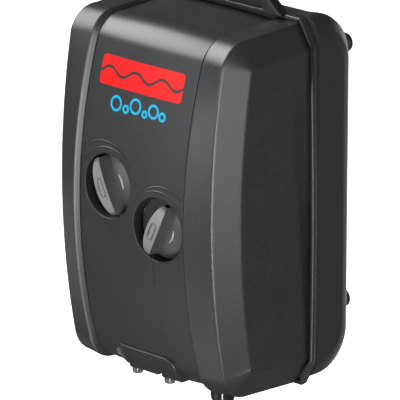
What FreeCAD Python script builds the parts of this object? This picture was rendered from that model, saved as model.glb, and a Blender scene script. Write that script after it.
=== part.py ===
import FreeCAD, Part
import math
import os
import Sketcher

# A membrane air pump for aquariums and ponds. It hangs on a wall by the loop on its top.
# Every piece is drawn about the middle of the housing, with the seam between the two
# covers in the plane y = 0, the front towards -Y and +Z up. Placements then lower it all,
# so that the origin is where a wall hook carries the loop.

Vector = FreeCAD.Vector
Rotation = FreeCAD.Rotation

SIZES = {
    # housing, outside
    "panel_half_width": (49.2, "side panels, half the width between them"),
    "rim_half_width": (43.0, "crisp outer edge of the front rims"),
    "crest_half_width": (31.5, "inner edge of the front rims"),
    "band_half_width": (29.9, "sunken middle band of the front"),
    "panel_depth": (34.2, "seam to the front edge of a side panel, at its ends"),
    "panel_bow": (5.6, "how far that edge bows forwards at mid height"),
    "rim_depth": (44.6, "seam to the rim's outer edge, at the end of its corner"),
    "rim_bow": (6.2, "bow of the rim's outer edge"),
    "crest_depth": (45.2, "seam to the rim's inner edge, at the ends of its bow"),
    "crest_bow": (9.9, "bow of the rim's inner edge"),
    "crest_tilt": (1.2, "how far that edge leans back at the top and forwards at the bottom"),
    "band_sink": (2.0, "how far the band lies behind the rims"),
    "panel_half_height": (63.2, "side panel, half its height at the front edge"),
    "face_half_height": (64.6, "front face between its rounded ends, half its height"),
    "top_height": (73.4, "top of the front cover above its middle"),
    "bottom_height": (76.4, "underside of the front cover below its middle"),
    "draft_rise": (1.4, "growth of the top and bottom from the front to the seam"),
    "corner_radius": (14.0, "rounding from the front face to top and bottom"),
    "corner_reach": (14.5, "how far back that rounding reaches"),
    "wall": (2.5, "thickness of the housing's walls"),
    # seam flange and rear cover
    "flange_half_width": (50.9, "flange at mid height"),
    "flange_top": (76.6, "flange above the middle"),
    "flange_bottom": (79.0, "flange below the middle"),
    "flange_corner_x": (42.8, "where a cut corner of the flange starts"),
    "flange_corner_top": (65.2, "height of the upper cut corners"),
    "flange_corner_bottom": (67.6, "depth of the lower cut corners"),
    "flange_depth": (3.2, "thickness of the flange"),
    "rear_half_width": (49.4, "rear cover beside its rounded edge"),
    "rear_depth": (26.6, "seam to the back face"),
    "rear_top": (76.0, "top of the rear cover"),
    "rear_bottom": (78.0, "underside of the rear cover"),
    "rear_corner": (17.0, "rounding of the back's top and bottom"),
    "rear_edge": (5.5, "rounding of the back's sides"),
    # hanging loop
    "loop_half_base": (35.6, "half the width of the loop's foot"),
    "loop_half_top": (16.5, "half the width of the loop's top"),
    "loop_top": (92.0, "top of the loop"),
    "hook_height": (86.0, "underside of the loop's top bar, where the hook carries"),
    "loop_opening_base": (24.8, "half the width of the loop's opening at its foot"),
    "loop_opening_top": (18.0, "half the width of that opening where a hook carries it"),
    "loop_sill": (0.8, "height of the bar under the opening"),
    "loop_half_thickness": (2.5, "half the loop's thickness"),
    # knobs
    "knob_left_x": (-13.3, "axis of the left knob"),
    "knob_left_z": (5.9, "height of the left knob"),
    "knob_right_x": (15.3, "axis of the right knob"),
    "knob_right_z": (-6.4, "height of the right knob"),
    "knob_left_lean": (-25.0, "turn of the left knob at rest, degrees clockwise from upright"),
    "knob_right_lean": (25.0, "turn of the right knob at rest"),
    "knob_hole_radius": (13.3, "hole in the front cover for a knob"),
    "knob_radius": (12.6, "knob's dome"),
    "knob_skirt_depth": (4.0, "height of the knob's drum below the dome"),
    "knob_dome_rise": (2.6, "rise of the dome"),
    "knob_front": (49.0, "seam to the rim of the dome"),
    "knob_socket_end": (-1.0, "knob's rim plane to the end of the spindle's socket"),
    "grip_length": (24.4, "length of the grip bar across the dome"),
    "grip_width": (7.2, "width of the grip bar at its middle"),
    "grip_shoulder": (4.4, "height of the grip bar's ends above the dome's rim"),
    "grip_rise": (8.2, "height of the grip bar's middle above the dome's rim"),
    "grip_dish": (0.8, "depth of the dished recess on the grip"),
    "spindle_radius": (2.6, "valve spindle"),
    "spindle_length": (16.4, "valve spindle, from the knob into the valve"),
    "running_gap": (0.05, "gap round a turning spindle"),
    # air outlets
    "valve_block_front": (44.4, "seam to the front of the valve block"),
    "valve_block_shift": (1.0, "valve block's middle, right of the housing's middle"),
    "valve_block_depth": (13.0, "valve block, front to back"),
    "valve_block_half": (24.0, "half the width of the valve block"),
    "valve_block_low": (17.0, "underside of the valve block below the middle"),
    "valve_block_high": (16.0, "top of the valve block"),
    "seal_radius": (4.2, "seat of a spindle seal"),
    "seal_depth": (2.4, "thickness of a spindle seal"),
    "nozzle_left_x": (-12.0, "left outlet nozzle"),
    "nozzle_right_x": (6.6, "right outlet nozzle"),
    "nozzle_depth": (37.8, "seam to the nozzles"),
    "nozzle_radius": (2.4, "nozzle for 4 mm airline"),
    "nozzle_bore": (1.3, "air passage of a nozzle"),
    "nozzle_tip": (77.5, "nozzle tips below the middle"),
    "nozzle_tip_length": (15.5, "straight length of a nozzle under its collar"),
    "nozzle_collar": (3.6, "radius of a nozzle's collar"),
    "nozzle_well": (4.1, "radius of the wells round the nozzles"),
    "well_height": (20.0, "height of those wells, from under the flange"),
    "guard_left": (23.0, "outlet guard, left end from the middle"),
    "guard_right": (17.6, "outlet guard, right end from the middle"),
    "guard_top": (63.3, "upper edge of the outlet guard below the middle"),
    "guard_low": (73.9, "lower edge of the outlet guard's face below the middle"),
    "guard_face": (47.2, "seam to the upper edge of the outlet guard"),
    "guard_foot": (42.2, "seam to the lower edge of the outlet guard"),
    # drive
    "core_width": (29.0, "laminated core"),
    "core_back": (7.0, "height of the core's yoke"),
    "core_leg": (6.0, "width of an outer leg"),
    "core_tongue": (8.0, "width of the middle leg"),
    "bobbin_height": (22.0, "coil bobbin"),
    "winding_width": (16.4, "copper winding, side to side"),
    "winding_depth": (26.4, "copper winding, front to back"),
    "bolt_x": (10.5, "core bolts from the middle"),
    "bolt_radius": (1.6, "core bolts"),
    "core_height": (30.0, "laminated core"),
    "core_depth": (20.0, "stack of the core's sheets"),
    "core_base": (-2.0, "underside of the core"),
    "core_middle": (-8.0, "middle of the core and levers, measured from the seam"),
    "lever_x": (21.5, "middle of a lever beside the core"),
    "lever_pivot": (-44.0, "height of the levers' pivots"),
    "lever_top": (34.0, "upper end of the levers"),
    "lever_thickness": (2.4, "thickness of a lever"),
    "lever_width": (12.0, "width of a lever, front to back"),
    "pin_radius": (1.5, "pivot pins of the levers"),
    "magnet_length": (14.0, "height of a magnet"),
    "magnet_thickness": (3.0, "thickness of a magnet"),
    # pump chambers
    "chamber_height": (2.0, "height of the chambers' middle"),
    "chamber_inner": (30.2, "inner face of a chamber from the middle plane"),
    "chamber_radius": (14.5, "outside of a round chamber"),
    "chamber_depth": (9.0, "thickness of a chamber"),
    "membrane_thickness": (1.2, "thickness of a rubber membrane"),
    "inlet_hose_radius": (3.2, "outside of the hoses from the chambers to the valve block"),
    "inlet_hose_bore": (1.8, "air passage of those hoses"),
    # chassis
    "chassis_half_width": (36.0, "carrier plate"),
    "chassis_half_height": (58.0, "carrier plate"),
    "chassis_front": (6.5, "seam to the front of the carrier plate"),
    "chassis_thickness": (3.0, "carrier plate"),
    "grommet_x": (29.5, "rubber grommets from the middle"),
    "grommet_z": (50.0, "rubber grommets above and below the middle"),
    "grommet_radius": (5.0, "rubber grommets"),
    "grommet_neck": (3.0, "neck of a grommet in the carrier plate"),
    "rod_radius": (2.0, "push rods"),
    # feet and screws
    "foot_x": (40.0, "rubber feet on the back, from the middle"),
    "foot_top": (60.3, "height of the upper feet"),
    "foot_bottom": (-49.0, "height of the lower feet"),
    "foot_radius": (4.0, "rubber feet"),
    "foot_stem": (1.2, "how deep the feet are set into the back"),
    "foot_rise": (4.4, "how far the feet stand off the back"),
    "screw_x": (41.0, "cover screws from the middle"),
    "screw_top": (43.0, "height of the upper cover screws"),
    "screw_bottom": (-63.0, "height of the lower cover screws"),
    "screw_radius": (1.7, "shank of a cover screw"),
    "screw_head_radius": (3.2, "head of a cover screw"),
    "screw_shank": (36.0, "length of a cover screw under its head"),
    "post_radius": (4.2, "posts round the cover screws"),
    "post_length": (13.0, "length of the front cover's posts"),
    "filter_half": (11.0, "half the side of the square air intake"),
    "filter_z": (-40.0, "height of the air intake"),
    "lid_thickness": (1.4, "lid of the air intake"),
    "lid_slot_pitch": (3.4, "distance between the lid's slots"),
    "lid_slot_half": (0.7, "half the height of a slot"),
    "felt_thickness": (5.0, "felt pad behind the lid"),
    # cord
    "cord_x": (29.0, "strain relief from the middle"),
    "cord_depth": (29.7, "seam to the strain relief"),
    "cord_radius": (2.75, "round two-core mains lead"),
    "relief_radius": (4.6, "strain relief under the housing"),
    "relief_shoulder": (77.0, "top of the strain relief's outer part, below the middle"),
    "relief_collar": (70.0, "underside of the strain relief's collar inside the housing"),
    "relief_end": (103.0, "lower end of the strain relief below the middle"),
    "relief_wall": (0.7, "wall of the strain relief at its lower end"),
    "sheath_top": (67.0, "upper end of the lead's sheath below the middle"),
    "terminal_width": (22.0, "terminal block, side to side"),
    "terminal_depth": (12.0, "terminal block, front to back"),
    "terminal_height": (6.5, "terminal block"),
    "terminal_low": (58.0, "underside of the terminal block below the middle"),
    "mains_wire_radius": (0.9, "insulated cores of the mains lead"),
    "coil_wire_radius": (0.7, "leads of the winding"),
    "coil_x": (8.0, "middle of the put-away coil"),
    "coil_depth": (20.0, "seam to the middle of the coil"),
    "coil_drop": (157.0, "middle of the coil below the housing's middle"),
    "coil_radius": (30.0, "middle of the coil's turns"),
    "coil_layers": (2.0, "turns side by side across the coil"),
    "coil_rows": (4.0, "turns one behind the other"),
    "tie_height": (9.0, "width of the strap round the coil"),
    "tie_wall": (1.0, "thickness of that strap"),
    "plug_sleeve": (12.0, "length of the plug's sleeve"),
    "plug_sleeve_radius": (5.0, "lower end of the plug's sleeve"),
    "plug_thickness": (13.7, "flat plug, side to side"),
    "plug_width": (26.0, "plug across its two pins"),
    "plug_height": (26.0, "plug's block under the sleeve"),
    "contact_radius": (2.0, "contact pins"),
    "contact_length": (19.0, "contact pins"),
    "contact_half_pitch": (9.3, "half the distance between the pins"),
}


class Size:
    """A length from the sheet, or a sum or product of lengths, with the words FreeCAD reads."""

    def __init__(self, value, words):
        self.value = value
        self.words = words

    def _join(self, sign, other, value):
        return Size(value, f"({self.words} {sign} {as_size(other).words})")

    def __add__(self, other):
        return self._join("+", other, self.value + as_size(other).value)

    def __sub__(self, other):
        return self._join("-", other, self.value - as_size(other).value)

    def __mul__(self, other):
        return self._join("*", other, self.value * as_size(other).value)

    def __truediv__(self, other):
        return self._join("/", other, self.value / as_size(other).value)

    def __neg__(self):
        return Size(-self.value, f"(0 - {self.words})")

    def __radd__(self, other):
        return as_size(other) + self

    def __rsub__(self, other):
        return as_size(other) - self

    def __rmul__(self, other):
        return as_size(other) * self


def as_size(number):
    """A bare number becomes a Size, and a Size stays itself."""
    if isinstance(number, Size):
        return number
    return Size(float(number), repr(float(number)))


class Sheet:
    """The driving dimensions: a spreadsheet, and each of its cells as a Size attribute."""

    def __init__(self, document, rows):
        self.sheet = document.addObject("Spreadsheet::Sheet", "Sizes")
        for row, (name, (value, note)) in enumerate(rows.items(), start=1):
            self.sheet.set(f"A{row}", name.replace("_", " "))
            self.sheet.set(f"B{row}", str(value))
            self.sheet.setAlias(f"B{row}", name)
            self.sheet.set(f"C{row}", note)
            setattr(self, name, Size(float(value), f"Sizes.{name}"))


doc = FreeCAD.newDocument("air_pump")
d = Sheet(doc, SIZES)
doc.recompute()
parts = []


# ---------------------------------------------------------------- helpers

def bind(thing, prop, size):
    """Tie a property to the sheet."""
    size = as_size(size)
    thing.setExpression(prop, size.words)
    return size.value


def place(thing, label, x=0, y=0, z=0, turn=None):
    """Give a finished sub-part its name and its place, lowered so that the hook is at z = 0."""
    thing.Label = label
    thing.Placement = FreeCAD.Placement(Vector(0, 0, 0), turn or Rotation())
    bind(thing, "Placement.Base.x", x)
    bind(thing, "Placement.Base.y", y)
    bind(thing, "Placement.Base.z", as_size(z) - d.hook_height)
    parts.append(thing)
    return thing


def new_body(name):
    """An empty PartDesign body."""
    return doc.addObject("PartDesign::Body", "body_" + name)


def origin_plane(body, role):
    """One of a body's own origin planes."""
    return next(item for item in body.Origin.OriginFeatures if item.Role == role)


def new_sketch(body, role, offset=0.0):
    """A sketch on an origin plane, moved along that plane's normal."""
    sketch = body.newObject("Sketcher::SketchObject", body.Name + "_sketch")
    sketch.AttachmentSupport = [(origin_plane(body, role), "")]
    sketch.MapMode = "FlatFace"
    if isinstance(offset, Size) or offset != 0:
        bind(sketch, "AttachmentOffset.Base.z", offset)
    return sketch


def pin_point(sketch, edge, end, across, along):
    """Fix a point of a sketch at two distances from its origin, both tied to the sheet."""
    for kind, size, axis in (("DistanceX", across, -2), ("DistanceY", along, -1)):
        size = as_size(size)
        if abs(size.value) < 1e-9:
            sketch.addConstraint(Sketcher.Constraint("PointOnObject", edge, end, axis))
            continue
        index = sketch.addConstraint(Sketcher.Constraint(kind, -1, 1, edge, end, size.value))
        sketch.setExpression(f"Constraints[{index}]", size.words)


def arc_between(start, finish, radius):
    """Arc from start to finish; a positive radius bends it to the left of its chord's middle."""
    chord = finish - start
    middle = (start + finish) * 0.5
    rise = math.sqrt(max(radius * radius - chord.Length ** 2 / 4, 0.0))
    side = Vector(-chord.y, chord.x, 0).normalize() * math.copysign(rise, radius)
    centre = middle + side
    angles = [math.atan2((point - centre).y, (point - centre).x) for point in (start, finish)]
    circle = Part.Circle(centre, Vector(0, 0, 1), abs(radius))
    if radius > 0:
        return Part.ArcOfCircle(circle, angles[0], angles[1]), 1, 2
    return Part.ArcOfCircle(circle, angles[1], angles[0]), 2, 1


def draw_outline(sketch, corners):
    """Closed outline. A corner is (across, along), with a radius where an arc starts from it."""
    points = [Vector(as_size(c[0]).value, as_size(c[1]).value, 0) for c in corners]
    edges = []
    for index, corner in enumerate(corners):
        following = points[(index + 1) % len(points)]
        if len(corner) == 3:
            curve, first, last = arc_between(points[index], following, as_size(corner[2]).value)
        else:
            curve, first, last = Part.LineSegment(points[index], following), 1, 2
        edges.append((sketch.addGeometry(curve, False), first, last))
    for index, (edge, first, last) in enumerate(edges):
        after, after_first, _ = edges[(index + 1) % len(edges)]
        sketch.addConstraint(Sketcher.Constraint("Coincident", edge, last, after, after_first))
    for (edge, first, _), corner in zip(edges, corners):
        pin_point(sketch, edge, first, corner[0], corner[1])
        if len(corner) == 3:
            radius = as_size(corner[2])
            size = radius if radius.value > 0 else -radius
            number = sketch.addConstraint(Sketcher.Constraint("Radius", edge, size.value))
            sketch.setExpression(f"Constraints[{number}]", size.words)


def draw_circle(sketch, across, along, radius):
    """A circle whose centre and radius are tied to the sheet."""
    centre = Vector(as_size(across).value, as_size(along).value, 0)
    edge = sketch.addGeometry(Part.Circle(centre, Vector(0, 0, 1), as_size(radius).value), False)
    pin_point(sketch, edge, 3, across, along)
    number = sketch.addConstraint(Sketcher.Constraint("Radius", edge, as_size(radius).value))
    sketch.setExpression(f"Constraints[{number}]", as_size(radius).words)


def rectangle(x0, x1, y0, y1):
    """The four corners of a rectangle."""
    return [(x0, y0), (x1, y0), (x1, y1), (x0, y1)]


def pad(body, sketch, length):
    """Raise a sketch along its normal."""
    feature = body.newObject("PartDesign::Pad", body.Name + "_pad")
    feature.Profile = sketch
    bind(feature, "Length", length)
    doc.recompute()
    return feature


def pocket(body, sketch, length):
    """Cut a sketch out along its normal, and make sure that something went."""
    before = body.Shape.Volume
    feature = body.newObject("PartDesign::Pocket", body.Name + "_pocket")
    feature.Profile = sketch
    feature.Reversed = True
    bind(feature, "Length", length)
    doc.recompute()
    if body.Shape.Volume > before - 1e-6:
        raise RuntimeError(f"{feature.Name} cuts nothing")
    return feature


def revolve(body, sketch):
    """Turn a sketch round its upright axis."""
    feature = body.newObject("PartDesign::Revolution", body.Name + "_turn")
    feature.Profile = sketch
    feature.ReferenceAxis = (sketch, ["V_Axis"])
    feature.Angle = 360
    doc.recompute()
    return feature


def loft(body, kind, sketches):
    """Straight-sided skin through a row of sketches, added to the body or cut out of it."""
    before = body.Shape.Volume if body.Tip else 0.0
    feature = body.newObject(kind, body.Name + "_loft")
    feature.Profile = sketches[0]
    feature.Sections = sketches[1:]
    feature.Ruled = True
    doc.recompute()
    if abs(body.Shape.Volume - before) < 1e-6:
        raise RuntimeError(f"{feature.Name} changes nothing")
    return feature


def plate(name, corners, thickness, holes=(), role="XY_Plane", offset=0.0):
    """A padded outline with round holes."""
    body = new_body(name)
    sketch = new_sketch(body, role, offset)
    draw_outline(sketch, corners)
    for across, along, radius in holes:
        draw_circle(sketch, across, along, radius)
    pad(body, sketch, thickness)
    return body


def turned(name, profile):
    """A body of revolution about its own Z axis, from (radius, height) corners."""
    body = new_body(name)
    sketch = new_sketch(body, "XZ_Plane")
    draw_outline(sketch, profile)
    revolve(body, sketch)
    return body


def cylinder(name, radius, height):
    """A Part cylinder standing on its own origin."""
    thing = doc.addObject("Part::Cylinder", name)
    bind(thing, "Radius", radius)
    bind(thing, "Height", height)
    return thing


def block(name, length, width, height):
    """A Part box with one corner on its own origin."""
    thing = doc.addObject("Part::Box", name)
    bind(thing, "Length", length)
    bind(thing, "Width", width)
    bind(thing, "Height", height)
    return thing


def at(thing, x=0, y=0, z=0, turn=None):
    """Move a building block inside its sub-part."""
    thing.Placement = FreeCAD.Placement(Vector(0, 0, 0), turn or Rotation())
    bind(thing, "Placement.Base.x", x)
    bind(thing, "Placement.Base.y", y)
    bind(thing, "Placement.Base.z", z)
    return thing


def cut(name, base, tool):
    """Base less tool."""
    thing = doc.addObject("Part::Cut", name)
    thing.Base = base
    thing.Tool = tool
    return thing


def fuse(name, things):
    """Overlapping building blocks made one."""
    thing = doc.addObject("Part::MultiFuse", name)
    thing.Shapes = things
    return thing


def group(name, things):
    """Separate solids that share one node."""
    thing = doc.addObject("Part::Compound", name)
    thing.Links = things
    return thing


def groups_of(name, make_one, spots):
    """The same small piece at several spots, each a solid of its own."""
    things = []
    for index, (x, y, z, turn) in enumerate(spots):
        things.append(at(make_one(f"{name}_{index}"), x, y, z, turn))
    return place(group("group_" + name, things), name)


OUT_FRONT = Rotation(Vector(1, 0, 0), 90)        # own +Z turned to the front, -Y
OUT_BACK = Rotation(Vector(1, 0, 0), -90)        # own +Z turned to the back, +Y
OUT_DOWN = Rotation(Vector(1, 0, 0), 180)        # own +Z turned down
OUT_RIGHT = Rotation(Vector(0, 1, 0), 90)        # own +Z turned to +X
OUT_LEFT = Rotation(Vector(0, 1, 0), -90)        # own +Z turned to -X
SIDES = (("left", -1), ("right", 1))


# ---------------------------------------------------------------- housing

def front_section(body, x, depth, bow, tilt, half_height, top, bottom, reach, radius, back):
    """Side view of the front cover at one x: flat top and bottom, rounded corners, bowed face."""
    face_radius = bow_radius(half_height, bow)
    sketch = new_sketch(body, "YZ_Plane", x)
    draw_outline(sketch, [
        (back, top + d.draft_rise),
        (tilt - depth + reach, top, radius),
        (tilt - depth, half_height, face_radius),
        (-depth - tilt, -half_height, radius),
        (-depth - tilt + reach, -bottom),
        (back, -bottom - d.draft_rise),
    ])
    return sketch


def bow_radius(half_height, bow):
    """Radius of an arc that rises by the bow over twice the half height."""
    return (half_height * half_height + bow * bow) / (bow * 2)


def front_sections(body, inset, back):
    """Sketches from the left side panel to the right one, all drawn in by the wall's inset."""
    rows = [
        (d.panel_half_width, d.panel_depth, d.panel_bow, 0, d.panel_half_height - 1.2,
         d.panel_half_height, d.panel_half_height + 1.6, 1.2, 1.9),
        (d.rim_half_width, d.rim_depth, d.rim_bow, 0, d.face_half_height,
         d.top_height, d.bottom_height, d.corner_reach, d.corner_radius),
        (d.crest_half_width, d.crest_depth, d.crest_bow, d.crest_tilt, d.face_half_height,
         d.top_height, d.bottom_height, d.corner_reach, d.corner_radius),
        (d.band_half_width, d.crest_depth - d.band_sink, d.crest_bow, d.crest_tilt, d.face_half_height,
         d.top_height - 1.4, d.bottom_height - 1.4, d.corner_reach, d.corner_radius),
    ]
    half = []
    for x, depth, bow, tilt, half_height, top, bottom, reach, radius in rows:
        half.append((x - inset, depth - inset, bow, tilt, half_height - inset * 0.7, top - inset,
                     bottom - inset, reach, radius))
    if inset:
        half[2:] = []
        half.append((d.band_half_width - inset, d.crest_depth - d.band_sink - inset, d.crest_bow,
                     d.crest_tilt, d.face_half_height - inset * 0.7, d.top_height - 1.4 - inset,
                     d.bottom_height - 1.4 - inset, d.corner_reach, d.corner_radius))
    sketches = []
    for sign, ordered in ((-1, half), (1, half[::-1])):
        for x, *rest in ordered:
            sketches.append(front_section(body, x * sign, *rest, back))
    return sketches


def front_cover():
    """Pillow-shaped front shell with raised rims, a sunken band and holes for knobs and air."""
    body = new_body("front_cover")
    loft(body, "PartDesign::AdditiveLoft", front_sections(body, 0, 0))
    loft(body, "PartDesign::SubtractiveLoft", front_sections(body, d.wall, 1))
    holes = new_sketch(body, "XZ_Plane", d.wall * 16)
    draw_circle(holes, d.knob_left_x, d.knob_left_z, d.knob_hole_radius)
    draw_circle(holes, d.knob_right_x, d.knob_right_z, d.knob_hole_radius)
    pocket(body, holes, 30)
    outlet_guard(body)
    vents = new_sketch(body, "XY_Plane", -d.flange_bottom - 2)
    draw_circle(vents, d.nozzle_left_x, -d.nozzle_depth, d.nozzle_well)
    draw_circle(vents, d.nozzle_right_x, -d.nozzle_depth, d.nozzle_well)
    draw_circle(vents, d.cord_x, -d.cord_depth, d.relief_radius - 0.9)
    pocket(body, vents, d.well_height)
    front_posts(body)
    return place(body, "front_cover")


def outlet_guard(body):
    """Block on the lower front edge that shields the outlets."""
    side = new_sketch(body, "YZ_Plane", -d.guard_left)
    draw_outline(side, [(-d.guard_face, -d.guard_top), (-d.guard_foot, -d.guard_low),
                        (d.wall - d.nozzle_depth, -d.guard_low - 1.4),
                        (d.wall - d.nozzle_depth, -d.guard_low), (d.wall - d.guard_face, -d.guard_top)])
    pad(body, side, d.guard_left + d.guard_right)


def screw_spots():
    """Where the four cover screws go, as (x, z)."""
    return [(d.screw_x * side, height) for side in (-1, 1) for height in (d.screw_top, d.screw_bottom)]


def front_posts(body):
    """Posts that take the screws' ends, each with a web to the side wall."""
    length = d.post_length
    webs = new_sketch(body, "XZ_Plane")
    posts = new_sketch(body, "XZ_Plane")
    for x, z in screw_spots():
        outward = 1 if x.value > 0 else -1
        wall = (d.panel_half_width - d.wall * 0.5) * outward
        sides = (x, wall) if outward > 0 else (wall, x)
        draw_outline(webs, rectangle(*sides, z - 1.2, z + 1.2))
        draw_circle(posts, x, z, d.post_radius)
    pad(body, webs, length)
    pad(body, posts, length)
    threads = new_sketch(body, "XZ_Plane")
    for x, z in screw_spots():
        draw_circle(threads, x, z, d.screw_radius)
    pocket(body, threads, length)


def flange_outline(inset):
    """Seam outline, seen from the front: a tall rectangle with four cut corners."""
    across = d.flange_half_width - inset
    corner = d.flange_corner_x - inset * 0.45
    top, bottom = d.flange_top - inset, d.flange_bottom - inset
    high, low = d.flange_corner_top - inset * 0.45, d.flange_corner_bottom - inset * 0.45
    return [(across, high), (corner, top), (-corner, top), (-across, high),
            (-across, -low), (-corner, -bottom), (corner, -bottom), (across, -low)]


def rear_section(body, x, depth, top, bottom, radius, front):
    """Side view of the rear cover at one x: a tall box with two rounded back corners."""
    sketch = new_sketch(body, "YZ_Plane", x)
    draw_outline(sketch, [
        (front, -bottom),
        (depth - radius, -bottom, radius),
        (depth, -bottom + radius),
        (depth, top - radius, radius),
        (depth - radius, top),
        (front, top),
    ])
    return sketch


def rear_sections(body, inset, front):
    """Sketches of the rear cover from side to side."""
    rows = [
        (d.rear_half_width, d.rear_depth - d.rear_edge, d.rear_top - 9.0, d.rear_bottom - 9.0,
         d.rear_corner - 4),
        (d.rear_half_width - 2.2, d.rear_depth - 1.8, d.rear_top - 4.0, d.rear_bottom - 4.0,
         d.rear_corner - 1),
        (d.rear_half_width - 6.6, d.rear_depth - 0.3, d.rear_top, d.rear_bottom, d.rear_corner),
        (d.rear_half_width - 22.0, d.rear_depth, d.rear_top, d.rear_bottom, d.rear_corner),
    ]
    half = [(x - inset, depth - inset, top - inset, bottom - inset, radius)
            for x, depth, top, bottom, radius in rows]
    sketches = []
    for sign, ordered in ((-1, half), (1, half[::-1])):
        for x, *rest in ordered:
            sketches.append(rear_section(body, x * sign, *rest, front))
    return sketches


def rear_cover():
    """Rear shell with the seam flange, a groove for the seal and posts for the cover screws."""
    body = new_body("rear_cover")
    loft(body, "PartDesign::AdditiveLoft", rear_sections(body, 0, 0.4))
    flange = new_sketch(body, "XZ_Plane", -d.flange_depth)
    draw_outline(flange, flange_outline(0))
    pad(body, flange, d.flange_depth)
    loft(body, "PartDesign::SubtractiveLoft", rear_sections(body, d.wall, -1))
    groove = new_sketch(body, "XZ_Plane", -d.wall * 0.5)
    draw_outline(groove, flange_outline(1.5))
    draw_outline(groove, flange_outline(3.1))
    pocket(body, groove, 2)
    rear_posts(body)
    foot_seats(body)
    intake_opening(body)
    return place(body, "rear_cover")


def rear_posts(body):
    """Posts round the cover screws, with a sunk seat for each head."""
    posts = new_sketch(body, "XZ_Plane", d.wall - d.rear_depth)
    clear = new_sketch(body, "XZ_Plane", -d.rear_depth - 1)
    seats = new_sketch(body, "XZ_Plane", -d.rear_depth - 1)
    for x, z in screw_spots():
        draw_circle(posts, x, z, d.post_radius)
        draw_circle(clear, x, z, d.screw_radius + 0.1)
        draw_circle(seats, x, z, d.screw_head_radius + 0.1)
    pad(body, posts, d.rear_depth - d.wall)
    pocket(body, clear, d.rear_depth + 2)
    pocket(body, seats, 3.6)


def foot_seats(body):
    """Round seats that the rubber feet are pressed into."""
    seats = new_sketch(body, "XZ_Plane", -d.rear_depth - 1)
    for side in (-1, 1):
        for height in (d.foot_top, d.foot_bottom):
            draw_circle(seats, d.foot_x * side, height, d.foot_radius)
    pocket(body, seats, d.foot_stem + 1)


def intake_opening(body):
    """Square seat for the intake lid and a smaller opening through the back behind it."""
    half = d.filter_half
    seat = new_sketch(body, "XZ_Plane", -d.rear_depth - 1)
    draw_outline(seat, rectangle(-half, half, d.filter_z - half, d.filter_z + half))
    pocket(body, seat, d.lid_thickness + 1)
    opening = new_sketch(body, "XZ_Plane", -d.rear_depth - 1)
    small = half - 3
    draw_outline(opening, rectangle(-small, small, d.filter_z - small, d.filter_z + small))
    pocket(body, opening, 4)


def housing_seal():
    """Rubber cord that fills the groove of the flange."""
    body = new_body("housing_seal")
    ring = new_sketch(body, "XZ_Plane", -d.wall * 0.5)
    draw_outline(ring, flange_outline(1.5))
    draw_outline(ring, flange_outline(3.1))
    pad(body, ring, d.wall * 0.5)
    return place(body, "housing_seal")


def hanging_loop():
    """Trapezoid loop on the top of the housing; its foot stands on the flange."""
    foot = d.flange_top
    inner_base, inner_top = d.loop_opening_base, d.loop_opening_top
    body = new_body("hanging_loop")
    sketch = new_sketch(body, "XZ_Plane", -d.loop_half_thickness)
    draw_outline(sketch, [(-d.loop_half_base, foot), (d.loop_half_base, foot),
                          (d.loop_half_top, d.loop_top), (-d.loop_half_top, d.loop_top)])
    draw_outline(sketch, [(-inner_base, foot + d.loop_sill), (inner_base, foot + d.loop_sill),
                          (inner_top, d.hook_height), (-inner_top, d.hook_height)])
    pad(body, sketch, d.loop_half_thickness * 2)
    return place(body, "hanging_loop")


def wall_feet():
    """Four rubber buffers on the back, each with a stem pressed into the rear cover."""
    def foot(name):
        return cylinder(name + "_pad", d.foot_radius, d.foot_rise + d.foot_stem)
    spots = [(d.foot_x * side, d.rear_depth - d.foot_stem, height, OUT_BACK)
             for side in (-1, 1) for height in (d.foot_top, d.foot_bottom)]
    return groups_of("wall_feet", foot, spots)


def cover_screws():
    """Four long screws from the back that draw the covers together."""
    def screw(name):
        recess = cylinder(name + "_head", d.screw_head_radius, 2.2)
        shank = at(cylinder(name + "_shank", d.screw_radius, d.screw_shank), z=-d.screw_shank)
        return fuse(name + "_screw", [recess, shank])
    spots = [(d.screw_x * side, d.rear_depth - 2.6, height, OUT_BACK)
             for side in (-1, 1) for height in (d.screw_top, d.screw_bottom)]
    return groups_of("cover_screws", screw, spots)


# ---------------------------------------------------------------- knobs and valves

def knob_body(side):
    """Domed dial with an arched grip bar, a dished recess on top and a socket for its spindle."""
    body = new_body("knob_" + side)
    profile = new_sketch(body, "XZ_Plane")
    rise = d.knob_dome_rise
    dome = (d.knob_radius * d.knob_radius + rise * rise) / (rise * 2)
    draw_outline(profile, [
        (d.spindle_radius, -d.knob_skirt_depth), (d.knob_radius, -d.knob_skirt_depth),
        (d.knob_radius, 0, dome), (0, rise), (0, d.knob_socket_end),
        (d.spindle_radius, d.knob_socket_end)])
    revolve(body, profile)
    half = d.grip_length / 2
    bow = d.grip_rise - d.grip_shoulder
    crown = (half * half + bow * bow) / (bow * 2)
    bar = new_sketch(body, "YZ_Plane", -d.grip_width / 2)
    draw_outline(bar, [(-half, -1), (half, -1), (half, d.grip_shoulder, crown),
                       (-half, d.grip_shoulder)])
    pad(body, bar, d.grip_width)
    dish = new_sketch(body, "XY_Plane", d.grip_rise - d.grip_dish)
    draw_outline(dish, rectangle(-1.6, 1.6, -4.6, 4.6))
    pocket(body, dish, 2)
    return body


def knob(side):
    """One knob in its hole, turned as it was left."""
    x, z = knob_spot(side)
    lean = d.knob_left_lean if side == "left" else d.knob_right_lean
    turn = OUT_FRONT * Rotation(Vector(0, 0, 1), -lean.value)
    return place(knob_body(side), "knob_" + side, x, -d.knob_front, z, turn)


def knob_spot(side):
    """Where a knob's axis stands on the front."""
    if side == "left":
        return d.knob_left_x, d.knob_left_z
    return d.knob_right_x, d.knob_right_z


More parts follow.
